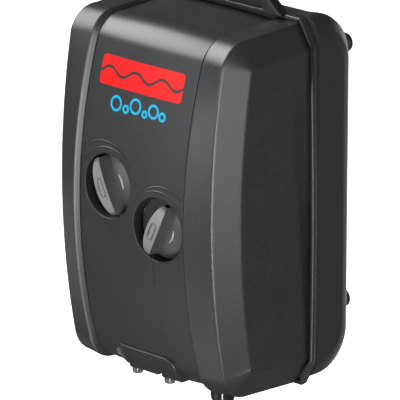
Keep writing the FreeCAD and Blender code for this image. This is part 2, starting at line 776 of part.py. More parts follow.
def valve_spindle(side):
    """Needle spindle pressed into its knob."""
    x, z = knob_spot(side)
    body = turned("valve_spindle_" + side, [
        (0, -d.spindle_length), (1.2, -d.spindle_length), (d.spindle_radius, 4 - d.spindle_length),
        (d.spindle_radius, 0), (0, 0)])
    return place(body, "valve_spindle_" + side, x, -d.knob_front - d.knob_socket_end, z, OUT_FRONT)


def valve_block():
    """Moulded block that both needle spindles turn in."""
    front, half = d.valve_block_front, d.valve_block_half
    bore = d.spindle_radius + d.running_gap
    spots = [knob_spot(side) for side, _ in SIDES]
    middle = d.valve_block_shift
    corners = rectangle(middle - half, middle + half, -d.valve_block_low, d.valve_block_high)
    body = plate("valve_block", corners, d.valve_block_depth, [(x, z, bore) for x, z in spots],
                 "XZ_Plane", front - d.valve_block_depth)
    seats = new_sketch(body, "XZ_Plane", front - d.seal_depth)
    for x, z in spots:
        draw_circle(seats, x, z, d.seal_radius)
    pocket(body, seats, d.seal_depth + 1)
    return place(body, "valve_block")


def spindle_seal(side):
    """Rubber ring in the mouth of a valve bore."""
    x, z = knob_spot(side)
    inner = d.spindle_radius + d.running_gap
    body = turned("spindle_seal_" + side, [
        (inner, 0), (d.seal_radius, 0), (d.seal_radius, d.seal_depth), (inner, d.seal_depth)])
    y = -d.valve_block_front + d.seal_depth
    return place(body, "spindle_seal_" + side, x, y, z, OUT_FRONT)


def air_nozzle(side):
    """Outlet nozzle: a tip for the airline, a collar in the cover's hole and a spigot above."""
    x = d.nozzle_left_x if side == "left" else d.nozzle_right_x
    outer, collar = d.nozzle_radius, d.nozzle_collar
    low, high = d.nozzle_tip_length, d.nozzle_tip_length + 3
    body = turned("air_nozzle_" + side, [
        (d.nozzle_bore, 0), (outer, 0), (outer, low), (collar, low), (collar, high),
        (outer, high), (outer, high + 7), (d.nozzle_bore, high + 7)])
    return place(body, "air_nozzle_" + side, x, -d.nozzle_depth, -d.nozzle_tip)


def outlet_hose(side):
    """Straight hose from the valve block down to a nozzle's spigot."""
    x = d.nozzle_left_x if side == "left" else d.nozzle_right_x
    low = d.nozzle_tip - d.nozzle_tip_length - 3
    length = low - d.valve_block_low
    outer = cylinder(f"outlet_hose_{side}_outer", d.nozzle_radius + 1.2, length)
    inner = cylinder(f"outlet_hose_{side}_inner", d.nozzle_radius, length)
    tube_part = cut(f"outlet_hose_{side}_tube", outer, inner)
    return place(tube_part, "outlet_hose_" + side, x, -d.nozzle_depth, -low)


# ---------------------------------------------------------------- routes of tubes

def rounded_route(points):
    """Straight runs joined by arcs as large as the runs allow, and the radii of those arcs."""
    edges, radii, start = [], [], points[0]
    for before, corner, after in zip(points, points[1:], points[2:]):
        entry, leave = corner - before, after - corner
        reach = 0.45 * min(entry.Length, leave.Length)
        turn = entry.getAngle(leave)
        first = corner - entry * (reach / entry.Length)
        last = corner + leave * (reach / leave.Length)
        radius = reach / math.tan(turn / 2)
        radii.append(radius)
        inward = (first + last) * 0.5 - corner
        to_centre = math.hypot(radius, reach)
        centre = corner + inward * (to_centre / inward.Length)
        middle = centre - inward * (radius / inward.Length)
        edges.append(Part.LineSegment(start, first).toShape())
        edges.append(Part.Arc(first, middle, last).toShape())
        start = last
    edges.append(Part.LineSegment(start, points[-1]).toShape())
    return Part.Wire(edges), radii


def swept(name, points, radius, bore=0.0):
    """A round tube along a route, checked against its section times its length."""
    route, radii = rounded_route([Vector(*point) for point in points])
    start = Vector(*points[0])
    ahead = Vector(*points[1]) - start
    shape = section_along(route, start, ahead, radius)
    if bore:
        shape = shape.cut(section_along(route, start, ahead, bore))
    expected = math.pi * (radius ** 2 - bore ** 2) * route.Length
    if abs(shape.Volume - expected) > expected * 0.01:
        raise RuntimeError(f"{name} has the wrong volume")
    print(f"{name}: {route.Length:.1f} mm, arc radii {[round(r, 1) for r in radii]}")
    thing = doc.addObject("Part::Feature", "tube_" + name)
    thing.Shape = shape
    return place(thing, name)


def section_along(route, start, ahead, radius):
    """One round section swept along a wire as a solid."""
    ring = Part.Wire([Part.Circle(start, ahead, radius).toShape()])
    return route.makePipeShell([ring], True, False)


# ---------------------------------------------------------------- drive

def magnet_core():
    """E-shaped stack of sheets with its three legs pointing up."""
    half, low, back = d.core_width / 2, d.core_base, d.core_back
    high = low + d.core_height
    outer, inner = half - d.core_leg, d.core_tongue / 2
    body = plate("magnet_core", [
        (-half, low), (half, low), (half, high), (outer, high), (outer, low + back),
        (inner, low + back), (inner, high), (-inner, high), (-inner, low + back),
        (-outer, low + back), (-outer, high), (-half, high)],
        d.core_depth, [(d.bolt_x * side, low + back / 2, d.bolt_radius + 0.1) for side in (-1, 1)],
        "XZ_Plane", -d.core_middle - d.core_depth / 2)
    return place(body, "magnet_core")


def boxed_ring(name, outer, inner, height):
    """A rectangular sleeve standing on its own origin, from outer and inner (x, y) sizes."""
    x, y = outer
    u, v = inner
    shell = at(block(name + "_outer", x, y, height), -x / 2, -y / 2)
    hollow = at(block(name + "_inner", u, v, height), -u / 2, -v / 2)
    return cut(name + "_sleeve", shell, hollow)


def coil_bobbin():
    """Plastic bobbin on the middle leg: a sleeve between two flanges."""
    inner = (d.core_tongue + 0.2, d.core_depth + 0.4)
    sleeve = boxed_ring("bobbin_tube", (inner[0] + 1.6, inner[1] + 1.6), inner, d.bobbin_height)
    flange = (d.winding_width + 0.2, d.winding_depth + 1.2)
    low = boxed_ring("bobbin_low", flange, inner, 1)
    high = at(boxed_ring("bobbin_high", flange, inner, 1), z=d.bobbin_height - 1)
    spool = fuse("bobbin_spool", [sleeve, low, high])
    return place(spool, "coil_bobbin", 0, d.core_middle, d.core_base + d.core_back)


def coil_winding():
    """Copper winding between the bobbin's flanges."""
    inner = (d.core_tongue + 1.8, d.core_depth + 2)
    winding = boxed_ring("winding", (d.winding_width, d.winding_depth), inner, d.bobbin_height - 2)
    return place(winding, "coil_winding", 0, d.core_middle, d.core_base + d.core_back + 1)


def core_bracket():
    """Spacer that carries the core in front of the carrier plate."""
    half = d.core_width / 2
    reach = d.chassis_front - d.core_middle - d.core_depth / 2
    body = plate("core_bracket", rectangle(-half, half, d.core_base, d.core_base + d.core_back - 0.5),
                 reach, [(d.bolt_x * side, d.core_base + d.core_back / 2, d.bolt_radius + 0.1)
                         for side in (-1, 1)], "XZ_Plane", -d.chassis_front)
    return place(body, "core_bracket")


def core_bolts():
    """Two bolts through core, bracket and carrier plate."""
    def bolt(name):
        head = cylinder(name + "_head", d.bolt_radius + 1.4, 1.8)
        length = d.chassis_front + d.chassis_thickness - d.core_middle + d.core_depth / 2
        shank = at(cylinder(name + "_shank", d.bolt_radius, length), z=-length)
        return fuse(name + "_bolt", [head, shank])
    front = d.core_middle - d.core_depth / 2
    spots = [(d.bolt_x * side, front, d.core_base + d.core_back / 2, OUT_FRONT) for side in (-1, 1)]
    return groups_of("core_bolts", bolt, spots)


def chassis():
    """Carrier plate behind the drive, with holes for pins, bolts and grommets."""
    holes = []
    for side in (-1, 1):
        holes.append((d.lever_x * side, d.lever_pivot, d.pin_radius))
        holes.append((d.bolt_x * side, d.core_base + d.core_back / 2, d.bolt_radius))
        for up in (-1, 1):
            holes.append((d.grommet_x * side, d.grommet_z * up, d.grommet_neck))
    half, tall = d.chassis_half_width, d.chassis_half_height
    body = plate("carrier_plate", rectangle(-half, half, -tall, tall), d.chassis_thickness, holes,
                 "XZ_Plane", -d.chassis_front - d.chassis_thickness)
    return place(body, "carrier_plate")


def grommets():
    """Four rubber grommets that float the carrier plate in the rear cover."""
    def grommet(name):
        length = d.rear_depth - d.wall - 0.3 - d.chassis_front - d.chassis_thickness
        neck = d.chassis_thickness
        body = turned(name, [
            (0, 0), (d.grommet_radius, 0), (d.grommet_radius, length), (d.grommet_neck, length),
            (d.grommet_neck, length + neck), (d.grommet_radius - 0.6, length + neck),
            (d.grommet_radius - 1.4, length + neck + 1.6), (0, length + neck + 1.6)])
        return body
    spots = [(d.grommet_x * side, d.rear_depth - d.wall - 0.3, d.grommet_z * up, OUT_FRONT)
             for side in (-1, 1) for up in (-1, 1)]
    return groups_of("grommets", grommet, spots)


def lever(side, sign):
    """Swinging lever beside the core, with a boss round its pivot pin."""
    name = "lever_" + side
    height = d.lever_top - d.lever_pivot
    blade = at(block(name + "_blade", d.lever_thickness, d.lever_width, height),
               -d.lever_thickness / 2, -d.lever_width / 2)
    boss = at(cylinder(name + "_boss", d.pin_radius + 2, d.lever_width),
              0, d.lever_width / 2, 0, OUT_FRONT)
    hole = at(cylinder(name + "_hole", d.pin_radius + d.running_gap, d.lever_width + 2),
              0, d.lever_width / 2 + 1, 0, OUT_FRONT)
    shape = cut(name + "_arm", fuse(name + "_body", [blade, boss]), hole)
    return place(shape, name, d.lever_x * sign, d.core_middle, d.lever_pivot)


def lever_pins():
    """Two pivot pins pressed into the carrier plate."""
    def pin(name):
        reach = d.chassis_front + d.chassis_thickness - d.core_middle + d.lever_width / 2 + 1.5
        return cylinder(name + "_rod", d.pin_radius, reach)
    back = d.chassis_front + d.chassis_thickness
    spots = [(d.lever_x * side, back, d.lever_pivot, OUT_FRONT) for side in (-1, 1)]
    return groups_of("lever_pins", pin, spots)


def lever_magnet(side, sign):
    """Block magnet on the inner face of a lever, level with the core's poles."""
    name = "magnet_" + side
    magnet = block(name + "_block", d.magnet_thickness, d.lever_width, d.magnet_length)
    inner = d.lever_x - d.lever_thickness / 2
    x = inner - d.magnet_thickness if sign > 0 else -inner
    return place(magnet, name, x, d.core_middle - d.lever_width / 2, d.lever_top - d.magnet_length)


def push_rod(side, sign):
    """Short rod from a lever to the middle of its membrane."""
    start = d.lever_x + d.lever_thickness / 2
    rod = cylinder(f"push_rod_{side}_rod", d.rod_radius, d.chamber_inner - d.membrane_thickness - start)
    turn = OUT_RIGHT if sign > 0 else OUT_LEFT
    return place(rod, "push_rod_" + side, start * sign, d.core_middle, d.chamber_height, turn)


# ---------------------------------------------------------------- pump chambers

def facing_out(body, label, sign, start):
    """Place a turned piece of a pump chamber with its own +Z pointing to its side."""
    turn = OUT_RIGHT if sign > 0 else OUT_LEFT
    return place(body, label, start * sign, d.core_middle, d.chamber_height, turn)


def membrane(side, sign):
    """Rubber membrane that closes a chamber."""
    disc = cylinder(f"membrane_{side}_disc", d.chamber_radius, d.membrane_thickness)
    return facing_out(disc, "membrane_" + side, sign, d.chamber_inner - d.membrane_thickness)


def clamp_ring(side, sign):
    """Ring that holds a membrane's rim against its chamber."""
    body = turned("clamp_ring_" + side, [
        (d.chamber_radius - 2.6, 0), (d.chamber_radius, 0), (d.chamber_radius, 2),
        (d.chamber_radius - 2.6, 2)])
    start = d.chamber_inner - d.membrane_thickness - 2
    return facing_out(body, "clamp_ring_" + side, sign, start)


def pump_chamber(side, sign):
    """Round cup in which the membrane moves the air."""
    body = turned("pump_chamber_" + side, [
        (0, 4), (11, 4), (11, 0), (d.chamber_radius, 0), (d.chamber_radius, d.chamber_depth),
        (0, d.chamber_depth)])
    return facing_out(body, "pump_chamber_" + side, sign, d.chamber_inner)


def valve_flaps(side, sign):
    """Rubber disc with the inlet and outlet flaps, under the valve cap."""
    disc = cylinder(f"valve_flaps_{side}_disc", 10, 0.8)
    return facing_out(disc, "valve_flaps_" + side, sign, d.chamber_inner + d.chamber_depth)


def valve_cap(side, sign):
    """Cap over the valve flaps."""
    body = turned("valve_cap_" + side, [
        (0, 0.8), (10, 0.8), (10, 0), (d.chamber_radius, 0), (d.chamber_radius, 3.2), (0, 3.2)])
    return facing_out(body, "valve_cap_" + side, sign, d.chamber_inner + d.chamber_depth)


def inlet_hose(side, sign):
    """Bent hose from a chamber's front round to the side of the valve block."""
    x = (d.chamber_inner + d.chamber_depth / 2).value * sign
    z = d.chamber_height.value
    start = (d.core_middle - d.chamber_radius).value
    level = d.valve_block_depth.value / 2 - d.valve_block_front.value
    end = (d.valve_block_shift + d.valve_block_half * sign).value
    points = [(x, start, z), (x, level, z), (end, level, z)]
    return swept("inlet_hose_" + side, points, d.inlet_hose_radius.value, d.inlet_hose_bore.value)


# ---------------------------------------------------------------- air intake

def intake_filter():
    """Felt pad behind the intake lid."""
    half = d.filter_half
    pad_part = block("intake_filter_pad", half * 2, d.felt_thickness, half * 2)
    return place(pad_part, "intake_filter", -half, d.rear_depth - d.wall - d.felt_thickness,
                 d.filter_z - half)


def intake_lid():
    """Slotted lid let into the back face over the intake."""
    half = d.filter_half
    body = plate("intake_lid", rectangle(-half, half, d.filter_z - half, d.filter_z + half),
                 d.lid_thickness, (), "XZ_Plane", -d.rear_depth)
    slots = new_sketch(body, "XZ_Plane", -d.rear_depth)
    for row in range(-2, 3):
        level = d.filter_z + d.lid_slot_pitch * row
        draw_outline(slots, rectangle(-half + 3, half - 3, level - d.lid_slot_half,
                                      level + d.lid_slot_half))
    pocket(body, slots, 3)
    return place(body, "intake_lid")


# ---------------------------------------------------------------- mains lead

def strain_relief():
    """Tapered rubber sleeve that leads the cord out of the housing's underside."""
    collar_low = d.relief_end - d.relief_collar
    shoulder = d.relief_end - d.relief_shoulder
    body = turned("strain_relief", [
        (d.cord_radius, 0), (d.cord_radius + d.relief_wall, 0), (d.relief_radius, shoulder - 3),
        (d.relief_radius, shoulder), (d.relief_radius - 1, shoulder),
        (d.relief_radius - 1, collar_low), (d.relief_radius + 0.4, collar_low),
        (d.relief_radius + 0.4, collar_low + 2.4), (d.cord_radius, collar_low + 2.4)])
    return place(body, "strain_relief", d.cord_x, -d.cord_depth, -d.relief_end)


def inner_cable():
    """Sheathed end of the mains lead inside the strain relief."""
    length = d.relief_end - d.sheath_top
    return place(cylinder("inner_cable_core", d.cord_radius, length), "inner_cable",
                 d.cord_x, -d.cord_depth, -d.relief_end)


def terminal_block():
    """Screw terminals under the levers."""
    box = block("terminal_block_box", d.terminal_width, d.terminal_depth, d.terminal_height)
    return place(box, "terminal_block", -d.terminal_width / 2, d.chassis_front - d.terminal_depth,
                 -d.terminal_low)


def wires():
    """Two leads from the cable to the terminals, and two from there up to the winding."""
    x, y = d.cord_x.value, -d.cord_depth.value
    back = (d.chassis_front - d.terminal_depth).value
    sheath = -d.sheath_top.value
    for number, shift in (("one", -1.3), ("two", 1.3)):
        swept("mains_wire_" + number, [
            (x + shift, y, sheath), (x - 1.0 + shift, y + 1.0, -60.5), (x - 8.0, y + 9.0, -56.0 + shift),
            (x - 17.0, y + 19.0, -55.4 + shift), (x - 21.0, back, -55.2 + shift)],
            d.mains_wire_radius.value)
        top = d.core_base.value + d.core_back.value
        swept("coil_wire_" + number, [
            (shift, -1.0, -51.5), (shift, -5.5, -42.0), (0.8 + shift, -16.0, -26.0),
            (1.6 + shift, -20.4, -9.0), (1.8 + shift, -20.6, top)],
            d.coil_wire_radius.value)


CORD_ROUTE = [
    (29.0, -29.7, -103.0),
    (29.2, -28.8, -117.0),
    (29.8, -25.8, -131.0),
    (33.6, -22.8, -144.0),
]
TAIL_ROUTE = [
    (37.9, -16.6, -160.0),
    (38.7, -15.8, -172.0),
    (38.9, -16.8, -184.5),
    (38.2, -17.8, -196.0),
]


def cord_coil():
    """Outer shape of the put-away turns: a ring of rounded rectangular section."""
    pitch = d.cord_radius * 2
    wide = pitch * d.coil_layers / 2 + 0.3
    deep = pitch * d.coil_rows / 2 + 0.3
    inner, outer = d.coil_radius - wide, d.coil_radius + wide
    soft = d.cord_radius
    body = turned("cord_coil", [
        (inner + soft, -deep), (outer - soft, -deep, soft), (outer, -deep + soft),
        (outer, deep - soft, soft), (outer - soft, deep), (inner + soft, deep, soft),
        (inner, deep - soft), (inner, -deep + soft, soft)])
    return place(body, "cord_coil", d.coil_x, -d.coil_depth, -d.coil_drop, OUT_FRONT)


def cord_tie():
    """Strap round the coil's turns."""
    pitch = d.cord_radius * 2
    inner = (pitch * d.coil_layers + 1.8, pitch * d.coil_rows + 0.8)
    outer = (inner[0] + d.tie_wall * 2, inner[1] + d.tie_wall * 2)
    strap = boxed_ring("tie", outer, inner, d.tie_height)
    x = d.coil_x - d.coil_radius
    return place(strap, "cord_tie", x, -d.coil_depth, -d.coil_drop - d.tie_height / 2)


def plug_body():
    """Flat two-pin plug with its own tapered sleeve; its pins point down."""
    x, y, z = TAIL_ROUTE[-1]
    sleeve = doc.addObject("Part::Cone", "plug_sleeve")
    bind(sleeve, "Radius1", d.plug_sleeve_radius)
    bind(sleeve, "Radius2", d.cord_radius + 0.5)
    bind(sleeve, "Height", d.plug_sleeve)
    grip_part = at(block("plug_grip", d.plug_thickness, d.plug_width, d.plug_height),
                   -d.plug_thickness / 2, -d.plug_width / 2, -d.plug_height)
    return place(fuse("plug_shape", [sleeve, grip_part]), "plug_body", x, y, z - d.plug_sleeve)


def plug_pins():
    """Two round contact pins."""
    x, y, z = TAIL_ROUTE[-1]

    def pin(name):
        return cylinder(name + "_pin", d.contact_radius, d.contact_length)
    low = z - d.plug_sleeve - d.plug_height
    spots = [(x, y + d.contact_half_pitch * side, low, OUT_DOWN) for side in (-1, 1)]
    return groups_of("plug_pins", pin, spots)


# ---------------------------------------------------------------- assembly

front_cover()
rear_cover()
housing_seal()
hanging_loop()
wall_feet()
cover_screws()
valve_block()
chassis()
grommets()
magnet_core()
core_bracket()
core_bolts()
coil_bobbin()
coil_winding()
lever_pins()
for name, direction in SIDES:
    knob(name)
    valve_spindle(name)
    spindle_seal(name)
    air_nozzle(name)
    outlet_hose(name)
    lever(name, direction)
    lever_magnet(name, direction)
    push_rod(name, direction)
    membrane(name, direction)
    clamp_ring(name, direction)
    pump_chamber(name, direction)
    valve_flaps(name, direction)
    valve_cap(name, direction)
    inlet_hose(name, direction)
intake_filter()
intake_lid()
strain_relief()
inner_cable()
terminal_block()
wires()
swept("power_cord", CORD_ROUTE, d.cord_radius.value)
swept("cord_tail", TAIL_ROUTE, d.cord_radius.value)
cord_coil()
cord_tie()
plug_body()
plug_pins()


# ---------------------------------------------------------------- writing

def check(thing):
    """A sub-part must be computed, whole and valid."""
    if thing.Shape.isNull() or not thing.Shape.isValid() or not thing.Shape.Solids:
        raise RuntimeError(f"{thing.Label} has no valid solid")


def write_parts():
    """Recompute, test everything, then write one STEP file for each sub-part."""
    doc.recompute()
    for thing in doc.Objects:
        if "Invalid" in thing.State or "Error" in thing.State:
            raise RuntimeError(f"{thing.Name} ({thing.Label}) failed: {thing.State}")
    os.makedirs("parts", exist_ok=True)
    for thing in parts:
        check(thing)
        thing.Shape.exportStep(f"parts/{thing.Label}.step")
        print(f"{thing.Label}: {len(thing.Shape.Solids)} solid(s), {thing.Shape.Volume:.0f} mm3")
    print(f"{len(parts)} nodes")


write_parts()
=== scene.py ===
"""Air pump for ponds and aquariums: the looks of every piece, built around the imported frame."""
import math
from functools import cache
from types import SimpleNamespace

import bmesh
import bpy
import numpy as np
from mathutils import Matrix, Vector


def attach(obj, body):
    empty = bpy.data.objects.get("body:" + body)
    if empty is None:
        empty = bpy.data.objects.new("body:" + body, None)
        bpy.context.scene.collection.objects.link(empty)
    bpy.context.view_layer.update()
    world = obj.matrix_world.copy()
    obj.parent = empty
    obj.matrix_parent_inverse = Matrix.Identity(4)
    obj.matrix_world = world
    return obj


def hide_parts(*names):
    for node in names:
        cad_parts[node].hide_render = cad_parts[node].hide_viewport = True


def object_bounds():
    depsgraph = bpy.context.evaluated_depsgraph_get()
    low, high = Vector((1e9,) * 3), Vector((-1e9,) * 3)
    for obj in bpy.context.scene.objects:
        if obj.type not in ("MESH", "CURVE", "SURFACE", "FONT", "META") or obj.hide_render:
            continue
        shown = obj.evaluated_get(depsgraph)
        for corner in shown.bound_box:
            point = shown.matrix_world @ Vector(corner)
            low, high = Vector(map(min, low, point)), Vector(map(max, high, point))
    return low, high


bl_info = {
    "name": "Air pump",
    "version": (1, 0, 0),
    "blender": (4, 5, 0),
    "location": "3D View > Sidebar > Air pump",
    "description": "Builds the air pump's covers, knobs, lead and finishes",
    "category": "Add Mesh",
}

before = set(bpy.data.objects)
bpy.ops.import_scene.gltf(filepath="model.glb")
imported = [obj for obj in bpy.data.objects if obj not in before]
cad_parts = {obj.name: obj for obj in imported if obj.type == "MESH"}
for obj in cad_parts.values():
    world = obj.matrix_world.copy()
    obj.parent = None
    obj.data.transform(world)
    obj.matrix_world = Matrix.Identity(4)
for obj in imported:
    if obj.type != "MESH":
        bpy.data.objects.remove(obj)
CAD_BOX = [list(corner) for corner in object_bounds()]


# ---- sizes and colours

def length(name, millimetres, description):
    return bpy.props.FloatProperty(name=name, description=description, min=0.0, unit="LENGTH",
                                   default=millimetres / 1000, precision=5)


def colour(name, default, description):
    return bpy.props.FloatVectorProperty(name=name, description=description, default=default,
                                         subtype="COLOR", size=3, min=0.0, max=1.0)


class PumpSizes(bpy.types.PropertyGroup):
    """Sizes measured from the middle of the seam between the two covers."""

    panel_half: length("Side panels", 49.2, "Half the width between the flat side panels")
    rim_half: length("Rim edge", 43.0, "Half the width between the rims' outer edges")
    crest_half: length("Crest", 31.5, "Half the width between the rims' inner edges")
    step_foot: length("Step foot", 29.9, "Half the width at the foot of the step")
    band_half: length("Band", 29.3, "Half the width of the sunken middle band")
    band_bulge: length("Band bulge", 0.9, "How far the middle of the band stands out")
    joint_width: length("Joint", 0.5, "Open joint beside the band and at the seam")
    hole_radius: length("Knob holes", 13.3, "Radius of the holes round the knobs")
    wall: length("Wall", 1.2, "Thickness of the front cover")
    flange_depth: length("Flange", 3.2, "Thickness of the seam flange")
    neck_end: length("Neck", 4.6, "Seam to the front edge of the rear shell")
    rear_depth: length("Rear depth", 26.6, "Seam to the back")
    lead_radius: length("Lead", 2.75, "Radius of the mains lead")


class PumpColours(bpy.types.PropertyGroup):
    """Colours of the finishes."""

    front: colour("Front cover", (0.024, 0.0258, 0.0262), "Satin front shell")
    rear: colour("Rear cover", (0.020, 0.021, 0.022), "Rear shell")
    knob: colour("Knobs", (0.15, 0.15, 0.15), "Knob caps")
    rubber: colour("Rubber", (0.012, 0.012, 0.012), "Feet, seals and sleeves")
    mark: colour("Mark", (0.60, 0.003, 0.003), "Printed bar")
    bubbles: colour("Bubbles", (0.0, 0.34, 0.58), "Printed bubbles")
    floor: colour("Floor", (0.92, 0.92, 0.92), "Floor and backdrop")


def sizes():
    """The sizes as numbers in millimetres."""
    group = bpy.context.scene.pump_sizes
    names = PumpSizes.__annotations__
    return SimpleNamespace(**{name: 1000 * getattr(group, name) for name in names})


def colours():
    """The colours as plain tuples."""
    group = bpy.context.scene.pump_colours
    names = PumpColours.__annotations__
    return SimpleNamespace(**{name: tuple(getattr(group, name)) for name in names})


def tint(base, factor):
    """A colour made darker or lighter."""
    return tuple(min(1.0, value * factor) for value in base)


# Height of the hanging point over the middle of the seam, the knobs' middles and how far they lean
# in degrees, and where the nozzles stand across the pump. All lengths are in millimetres.
HANG = 86.0
KNOBS = {"left": (-13.3, 5.9, -25.0), "right": (15.3, -6.4, 25.0)}
NOZZLES = {"left": -12.0, "right": 6.6}


# ---- surfaces

def row_frame(points):
    """Millimetres from the middle of the seam to metres under the hanging point."""
    return (np.asarray(points, float) + (0.0, 0.0, -HANG)) / 1000.0


def xyz(x, y, z):
    """Points from three coordinates, each an array or one number for all of them."""
    return np.stack(np.broadcast_arrays(x, y, z), axis=-1)


def arc(start, end, rise, shares):
    """Circle through start and end that stands rise to the left of the way, at the given shares."""
    start, end = np.asarray(start, float), np.asarray(end, float)
    chord = end - start
    reach = np.hypot(*chord)
    left = np.array([-chord[1], chord[0]]) / reach
    radius = (reach * reach / 4 + rise * rise) / (2 * rise)
    centre = (start + end) / 2 + left * (rise - radius)
    half = math.asin(min(1.0, reach / 2 / abs(radius)))
    turn = half * (1 - 2 * np.asarray(shares, float)) * np.sign(rise)
    side = left * radius
    return (centre + np.cos(turn)[:, None] * side
            + np.sin(turn)[:, None] * np.array([-side[1], side[0]]))


def rounded(line, radii, steps=4):
    """Each inner corner of a line becomes a parabola between points a radius before and after it.

    The line has shape (rows, corners, 2 or 3). One more point on each side holds the flats flat.
    """
    columns = [line[:, :1]]
    shares = np.linspace(0, 1, steps + 1)[None, :, None]
    for corner in range(1, line.shape[1] - 1):
        middle = line[:, corner:corner + 1]
        before = line[:, corner - 1:corner] - middle
        after = line[:, corner + 1:corner + 2] - middle
        before = before / np.linalg.norm(before, axis=2, keepdims=True)
        after = after / np.linalg.norm(after, axis=2, keepdims=True)
        radius = radii[corner - 1]
        first, last = middle + before * radius, middle + after * radius
        curve = ((1 - shares) ** 2 * first + 2 * shares * (1 - shares) * middle
                 + shares ** 2 * last)
        columns += [middle + before * radius * 1.4, curve, middle + after * radius * 1.4]
    return np.concatenate(columns + [line[:, -1:]], axis=1)


def squared(angle, power):
    """Across and up of a circle that nears a square as the power falls from 1 to 0."""
    return [np.sign(way) * np.abs(way) ** power for way in (np.cos(angle), np.sin(angle))]


def quads_of(index):
    """The four corners of each quad between neighbours in a grid of point numbers."""
    return np.stack([index[:-1, :-1], index[:-1, 1:], index[1:, 1:], index[1:, :-1]], axis=2)


class Skin:
    """Gathers grids of points, in millimetres, and turns them into one mesh piece."""

    def __init__(self):
        self.points, self.faces, self.count = [], [], 0

    def _take(self, points):
        points = np.asarray(points, float).reshape(-1, 3)
        self.points.append(points)
        self.count += len(points)
        return self.count - len(points)

    def grid(self, points, keep=None, around=False, along=False):
        """Quads between neighbours of a (rows, columns, 3) array, closed either way if asked."""
        rows, columns = points.shape[:2]
        base = self._take(points)
        index = np.arange(rows * columns).reshape(rows, columns) + base
        if around:
            index = np.concatenate([index, index[:, :1]], axis=1)
        if along:
            index = np.concatenate([index, index[:1]], axis=0)
        quads = quads_of(index)
        quads = quads.reshape(-1, 4) if keep is None else quads[keep]
        self.faces += quads.tolist()

    def turning(self, profile, count, axis, place):
        """A (radius, height) profile turned about an axis of the pump that runs through a place."""
        self.grid(turn_to(turned(profile, count), axis, place), around=True)

    def cap(self, ring):
        """One flat face inside a ring of points."""
        base = self._take(ring)
        self.faces.append(list(range(base, base + len(ring))))

    def piece(self, name, finish, body, nodes=(), slot=None, sharp=32.0, solid=None):
        """Mesh object with its doubles merged and its faces turned outwards. It stays at the origin
        and its place is in its mesh. A solid one gets a wall of that thickness."""
        mesh = bpy.data.meshes.new(name)
        mesh.from_pydata(row_frame(np.concatenate(self.points)).tolist(), [], self.faces)
        work = bmesh.new()
        work.from_mesh(mesh)
        bmesh.ops.remove_doubles(work, verts=work.verts, dist=2e-6)
        bmesh.ops.dissolve_degenerate(work, edges=work.edges, dist=1e-7)
        bmesh.ops.recalc_face_normals(work, faces=work.faces)
        work.to_mesh(mesh)
        work.free()
        mesh.polygons.foreach_set("use_smooth", np.ones(len(mesh.polygons), bool))
        mesh.set_sharp_from_angle(angle=math.radians(sharp))
        piece = bpy.data.objects.new(name, mesh)
        bpy.context.scene.collection.objects.link(piece)
        mesh.materials.append(finish)
        if solid:
            thick = piece.modifiers.new("wall", "SOLIDIFY")
            thick.thickness, thick.offset = solid / 1000.0, -1.0
        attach(piece, body)
        if nodes:
            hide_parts(*nodes)
        return piece


def turned(profile, count):
    """Profile of (radius, height) points carried round the upright axis: (heights, angles, 3)."""
    profile = np.asarray(profile, float)
    angle = np.arange(count) / count * 2 * math.pi
    return xyz(profile[:, :1] * np.cos(angle), profile[:, :1] * np.sin(angle), profile[:, 1:])


def softened(profile, radius, steps=3):
    """A (radius, height) profile with its corners rounded."""
    flat = np.asarray(profile, float)
    return rounded(flat[None], [radius] * (len(flat) - 2), steps)[0]


def turn_to(points, axis, place):
    """Points whose height runs along +Z are turned to run along an axis of the pump and moved."""
    x, y, z = np.moveaxis(points, -1, 0)
    ways = {"up": (x, y, z), "front": (x, -z, y), "back": (-x, z, y)}
    return xyz(*ways[axis]) + np.asarray(place, float)


# ---- front cover

TOP_ROWS, FILLET_ROWS, GRID_STEP = 9, 14, 1.15
DRAFT = 1.4
FACE_LIMIT = 64.6
# The band's face: depth at its ends, bow, tilt and half height.
BAND = (43.2, 9.9, 1.2, FACE_LIMIT)
# Reach and radius of the face's upper and lower corners.
CORNER = (14.5, 14.0)
# Depth of the joint beside the band, and of the lip round a knob hole.
GROOVE, LIP = 1.3, 0.45


def stepped(stops):
    """Places of a grid's lines, about a grid step apart, with a line exactly at every stop."""
    lines = [np.array(stops[:1])]
    for start, end in zip(stops, stops[1:]):
        count = max(2, int(round(abs(end - start) / GRID_STEP)) + 1)
        lines.append(np.linspace(start, end, count)[1:])
    return np.concatenate(lines)


def level_lines():
    """Heights of the grid's lines on the front face, with lines at the knob squares' edges."""
    reach = square_half()
    left, right = KNOBS["left"][1], KNOBS["right"][1]
    return stepped([FACE_LIMIT, left + reach, right + reach, left - reach, right - reach,
                    -FACE_LIMIT])


def cross_lines():
    """Places of the grid's lines across the band, with lines at the knob squares' edges."""
    reach, edge = square_half(), sizes().band_half
    left, right = KNOBS["left"][0], KNOBS["right"][0]
    return stepped([-edge, left - reach, left + reach, right - reach, right + reach, edge])


def square_half():
    """Half the side of the square that the grid leaves open round a knob hole."""
    return sizes().hole_radius + 0.6


def face_depth(depth, bow, tilt, half, level):
    """Bowed face: a circle through depth at both ends that stands bow further out in the middle,
    leaning back by the tilt at the top and forwards by it at the bottom."""
    radius = (half * half + bow * bow) / (2 * bow)
    return (depth + np.sqrt(radius * radius - level * level) - (radius - bow)
            - tilt * level / half)


